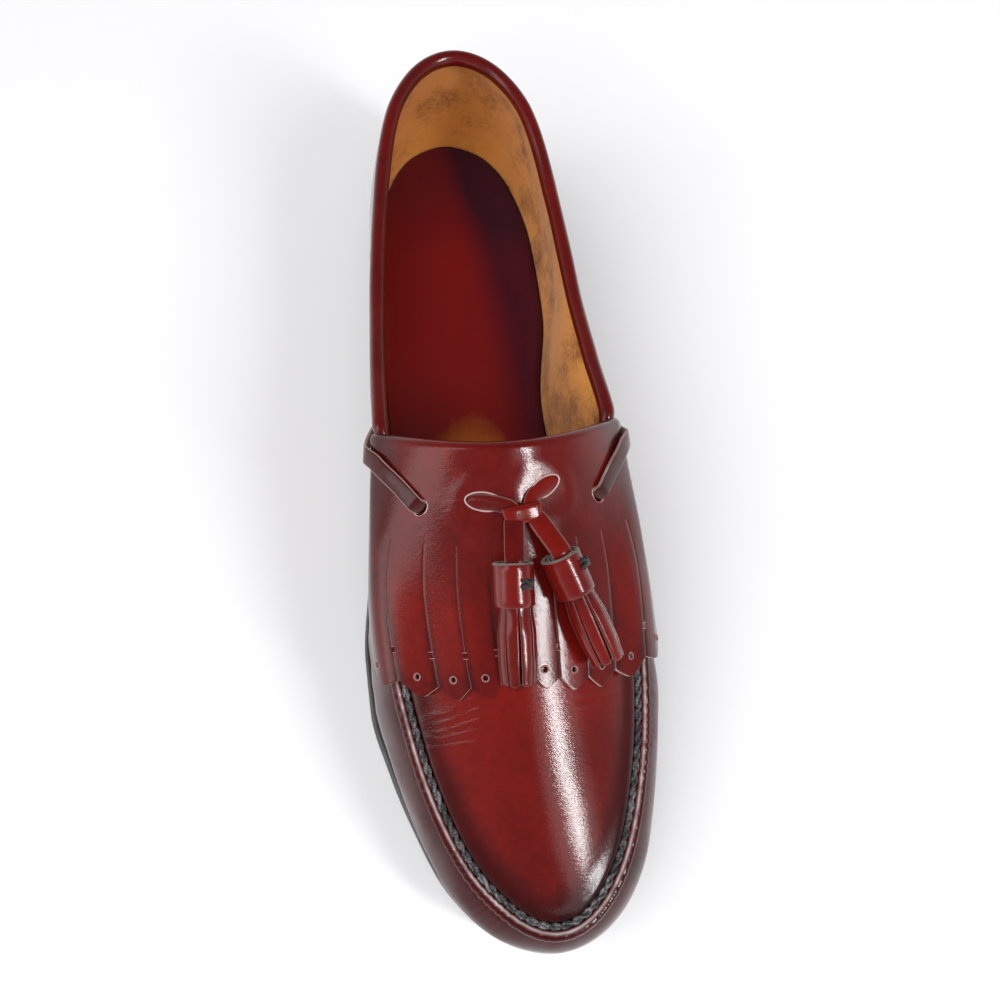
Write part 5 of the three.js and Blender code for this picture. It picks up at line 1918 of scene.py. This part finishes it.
def insole():
    inset = lambda angle: BALL_WIDTH * tuck_share(share_of_angle(angle)) + WALL + FIT
    rows = []
    for angle in WHOLE:
        extra = float(inset(angle))
        right = beside_sole(1, angle, -extra)
        left = beside_sole(-1, angle, -extra)
        row = []
        for mix in np.linspace(0, 1, 25):
            x = right[0] + (left[0] - right[0]) * mix
            s = right[1] + (left[1] - right[1]) * mix
            edge = 1 - smooth_step(0, 0.08, min(mix, 1 - mix))
            row.append((x, s, feather_line(s) + INSOLE_THICKNESS - 0.6 * edge))
        rows.append(row)
    points = np.array(rows, float)
    top = place(points[..., 0], points[..., 1], points[..., 2])
    base = place(points[..., 0], points[..., 1], feather_line(points[..., 1]))
    flat = np.concatenate([top.reshape(-1, 3), base.reshape(-1, 3)])
    count, columns = top.shape[:2]
    faces = grid_faces(count, columns).tolist()
    lower = [[c + count * columns for c in f][::-1] for f in faces]
    rims = []
    for i in range(count - 1):
        for column in (0, columns - 1):
            a = i * columns + column
            rims.append([a, a + columns, a + columns + count * columns, a + count * columns])
    flat, kept, _, _ = weld(flat, faces + lower + rims, 0.002)
    thing = add_mesh("insole", flat, kept, [INSOLE_LEATHER])
    s = HEEL_CENTRE - flat[:, 1]
    # Painted shade: a shadow down the inner side and darkening towards the heel; lighter amber round the middle
    # near the throat
    amber = 1 - smooth_step(0.1, 1.1, np.hypot((flat[:, 0] + 1) / 24, (s - 158) / 42))
    shadow_side = smooth_step(4, 22, flat[:, 0] - 0.12 * (s - 90))
    shade = 0.5 - 0.5 * amber * (1 - shadow_side) + 0.42 * shadow_side + 0.25 * (1 - smooth_step(20, 60, s))
    shade_piece(thing, shade)
    finish_piece(thing, ["insole"])


insole()


# Rows of stitches and tacks, as short rounded beads
def stitch_row(name, points, normals, pitch, length, radius, material):
    """Beads along a run of points, joined in one piece; normals say which way is up."""
    run = np.concatenate([[0], np.cumsum(np.linalg.norm(np.diff(points, axis=0), axis=1))])
    count = max(1, int(run[-1] / pitch))
    at = (np.arange(count) + 0.5) * run[-1] / count
    beads = []
    faces = []
    ring = np.linspace(0, 2 * np.pi, 9)[:-1]
    stations = [(-0.5, 0.35, -0.3), (-0.3, 0.9, 0.05), (0, 1.0, 0.2), (0.3, 0.9, 0.05), (0.5, 0.35, -0.3)]
    for centre_at in at:
        centre = np.array([np.interp(centre_at, run, points[:, k]) for k in range(3)])
        ahead = np.array([np.interp(centre_at + 0.4, run, points[:, k]) for k in range(3)])
        up = unit(np.array([np.interp(centre_at, run, normals[:, k]) for k in range(3)]))
        direction = unit(ahead - centre)
        if np.linalg.norm(ahead - centre) <= 1e-6:
            direction = unit(points[-1] - points[-2])
        aside = unit(np.cross(direction, up))
        start = len(beads) * len(stations) * len(ring)
        bead = []
        for along, size, lift in stations:
            middle = centre + direction * along * length + up * lift * radius
            bead.append(
                middle
                + aside * (size * radius * np.cos(ring))[:, None]
                + up * (size * radius * np.sin(ring))[:, None]
            )
        flat, quads, ends = tube(np.array(bead))
        beads.append(flat)
        faces += [[c + start for c in f] for f in quads + ends]
    return add_mesh(name, np.concatenate(beads), faces, [material])


def welt_stitches():
    angle = np.linspace(0.05, np.pi, 900)
    for name, side in SIDES:
        x, s = beside_sole(side, angle, -1.9)
        points = place(x, s, welt_top(s) + 0.02)
        ups = np.tile([0, 0, 1.0], (len(points), 1))
        thing = stitch_row(f"welt_stitches_{name}", points, ups, 3.1, 2.3, 0.36, WELT_THREAD)
        finish_piece(thing)


WELT_THREAD = thread("welt_thread", (0.06, 0.05, 0.05))
welt_stitches()


def quarter_stitches():
    for name, side in SIDES:
        for number, back in enumerate((2.2, 4.2)):
            rise = np.linspace(0.12, 0.9, 120)
            share = quarter_front(rise) - back / SOLE_LENGTH
            lift = np.full_like(rise, 0.12 + QUARTER_LIFT)
            points, normals = quarter_point(np.full_like(rise, side), share, rise, lift)
            thing = stitch_row(
                f"quarter_stitches_{name}_{number + 1}", points, normals, 2.3, 1.75, 0.27, STITCH_THREAD
            )
            finish_piece(thing)
        share = np.linspace(0.012, 0.462, 500)
        rise = 1 - 5.2 / wall_height(angle_of_share(share))
        points, normals = quarter_point(np.full_like(rise, side), share, rise, np.full_like(rise, 0.12))
        thing = stitch_row(f"collar_stitches_{name}", points, normals, 2.5, 1.9, 0.26, STITCH_THREAD)
        finish_piece(thing)


quarter_stitches()


def strap_tacks():
    """Two short bars of thread hold the hidden end of each strap."""
    for name, side in SIDES:
        for number, step in enumerate((1.04, 1.1)):
            run, normals = strap_run(side, np.array([step, step + 0.03]))
            aside = unit(np.cross(run[1] - run[0], normals[0]))
            reach = np.linspace(-0.42 * STRAP_WIDTH, 0.42 * STRAP_WIDTH, 12)
            points = run[0] + aside * reach[:, None] + normals[0] * 1.22
            ups = np.tile(normals[0], (12, 1))
            thing = stitch_row(f"strap_tack_{name}_{number + 1}", points, ups, 1.25, 1.1, 0.3, DARK_THREAD)
            finish_piece(thing)


strap_tacks()


# The set: a pale floor, soft lights and the camera over the toe
def stage():
    bpy.ops.mesh.primitive_plane_add(size=8, location=(0, 0, 0))
    floor = bpy.context.object
    floor.name = "floor"
    material, _, _ = new_material("floor_white", (0.9, 0.9, 0.905), 0.8)
    floor.data.materials.append(material)
    world = bpy.data.worlds.new("studio")
    bpy.context.scene.world = world
    world.use_nodes = True
    tree = world.node_tree
    background = tree.nodes["Background"]
    coordinates = add_node(tree, "ShaderNodeTexCoord")
    split = add_node(tree, "ShaderNodeSeparateXYZ")
    tree.links.new(coordinates.outputs["Generated"], split.inputs["Vector"])
    pale = [
        (0.0, (1.0, 1.0, 1.0)),
        (0.08, (0.8, 0.8, 0.8)),
        (0.32, (0.3, 0.29, 0.31)),
        (1.0, (0.05, 0.045, 0.055)),
    ]
    tree.links.new(colour_ramp(tree, split.outputs["Z"], pale), background.inputs["Color"])
    background.inputs["Strength"].default_value = 0.9


def soft_light(name, location, target, size, size_y, power, colour=(1, 1, 1)):
    data = bpy.data.lights.new(name, "AREA")
    data.shape = "RECTANGLE"
    data.size = size
    data.size_y = size_y
    data.energy = power
    data.color = colour
    light = bpy.data.objects.new(name, data)
    bpy.context.scene.collection.objects.link(light)
    light.location = location
    light.rotation_mode = "QUATERNION"
    light.rotation_quaternion = (Vector(target) - Vector(location)).to_track_quat("-Z", "Y")


def even_light(direction, strength):
    """A wide, soft light on the whole floor that shows in no reflection."""
    data = bpy.data.lights.new("even", "SUN")
    data.energy = strength
    data.angle = math.radians(70)
    light = bpy.data.objects.new("even", data)
    bpy.context.scene.collection.objects.link(light)
    light.rotation_mode = "QUATERNION"
    light.rotation_quaternion = Vector(direction).to_track_quat("Z", "Y")
    light.visible_glossy = False


# The photo's place of the camera, and how far the shoe leans to the right in the frame
CAMERA_PLACE = (-0.0532, -0.2598, 0.412)
CAMERA_LEAN = 6.4
CAMERA_LENS = 40.5


def camera():
    eye = Vector(CAMERA_PLACE)
    heel = (Vector((0, HEEL_CENTRE, 80)) * MM - eye).normalized()
    toe = (Vector((5, HEEL_CENTRE - SOLE_LENGTH, 12)) * MM - eye).normalized()
    aim = (heel + toe).normalized()
    turn = aim.to_track_quat("-Z", "Y").to_matrix()
    run = turn.transposed() @ (toe - heel)
    lean = math.atan2(run.x, -run.y)
    roll = Matrix.Rotation(lean - math.radians(CAMERA_LEAN), 3, "Z")
    data = bpy.data.cameras.new("camera")
    data.sensor_width = 36
    data.lens = CAMERA_LENS
    data.clip_start = 0.01
    data.clip_end = 20
    thing = bpy.data.objects.new("camera", data)
    bpy.context.scene.collection.objects.link(thing)
    thing.matrix_world = Matrix.Translation(eye) @ (turn @ roll).to_4x4()
    bpy.context.scene.camera = thing


bpy.context.scene.view_settings.view_transform = "Standard"
SHOE_MIDDLE = (0, -0.13, 0.05)
stage()
soft_light("window", (0.66, -0.78, 1.05), (0.01, -0.2, 0.06), 0.16, 0.6, 6.5)
soft_light("window_glow", (0.68, -0.86, 1.08), (0.01, -0.2, 0.06), 0.7, 0.95, 2.2)
soft_light("left", (-1.2, -0.3, 0.75), SHOE_MIDDLE, 0.4, 1.2, 2.2)
even_light((-0.5, -0.35, 1), 2.5)
camera()
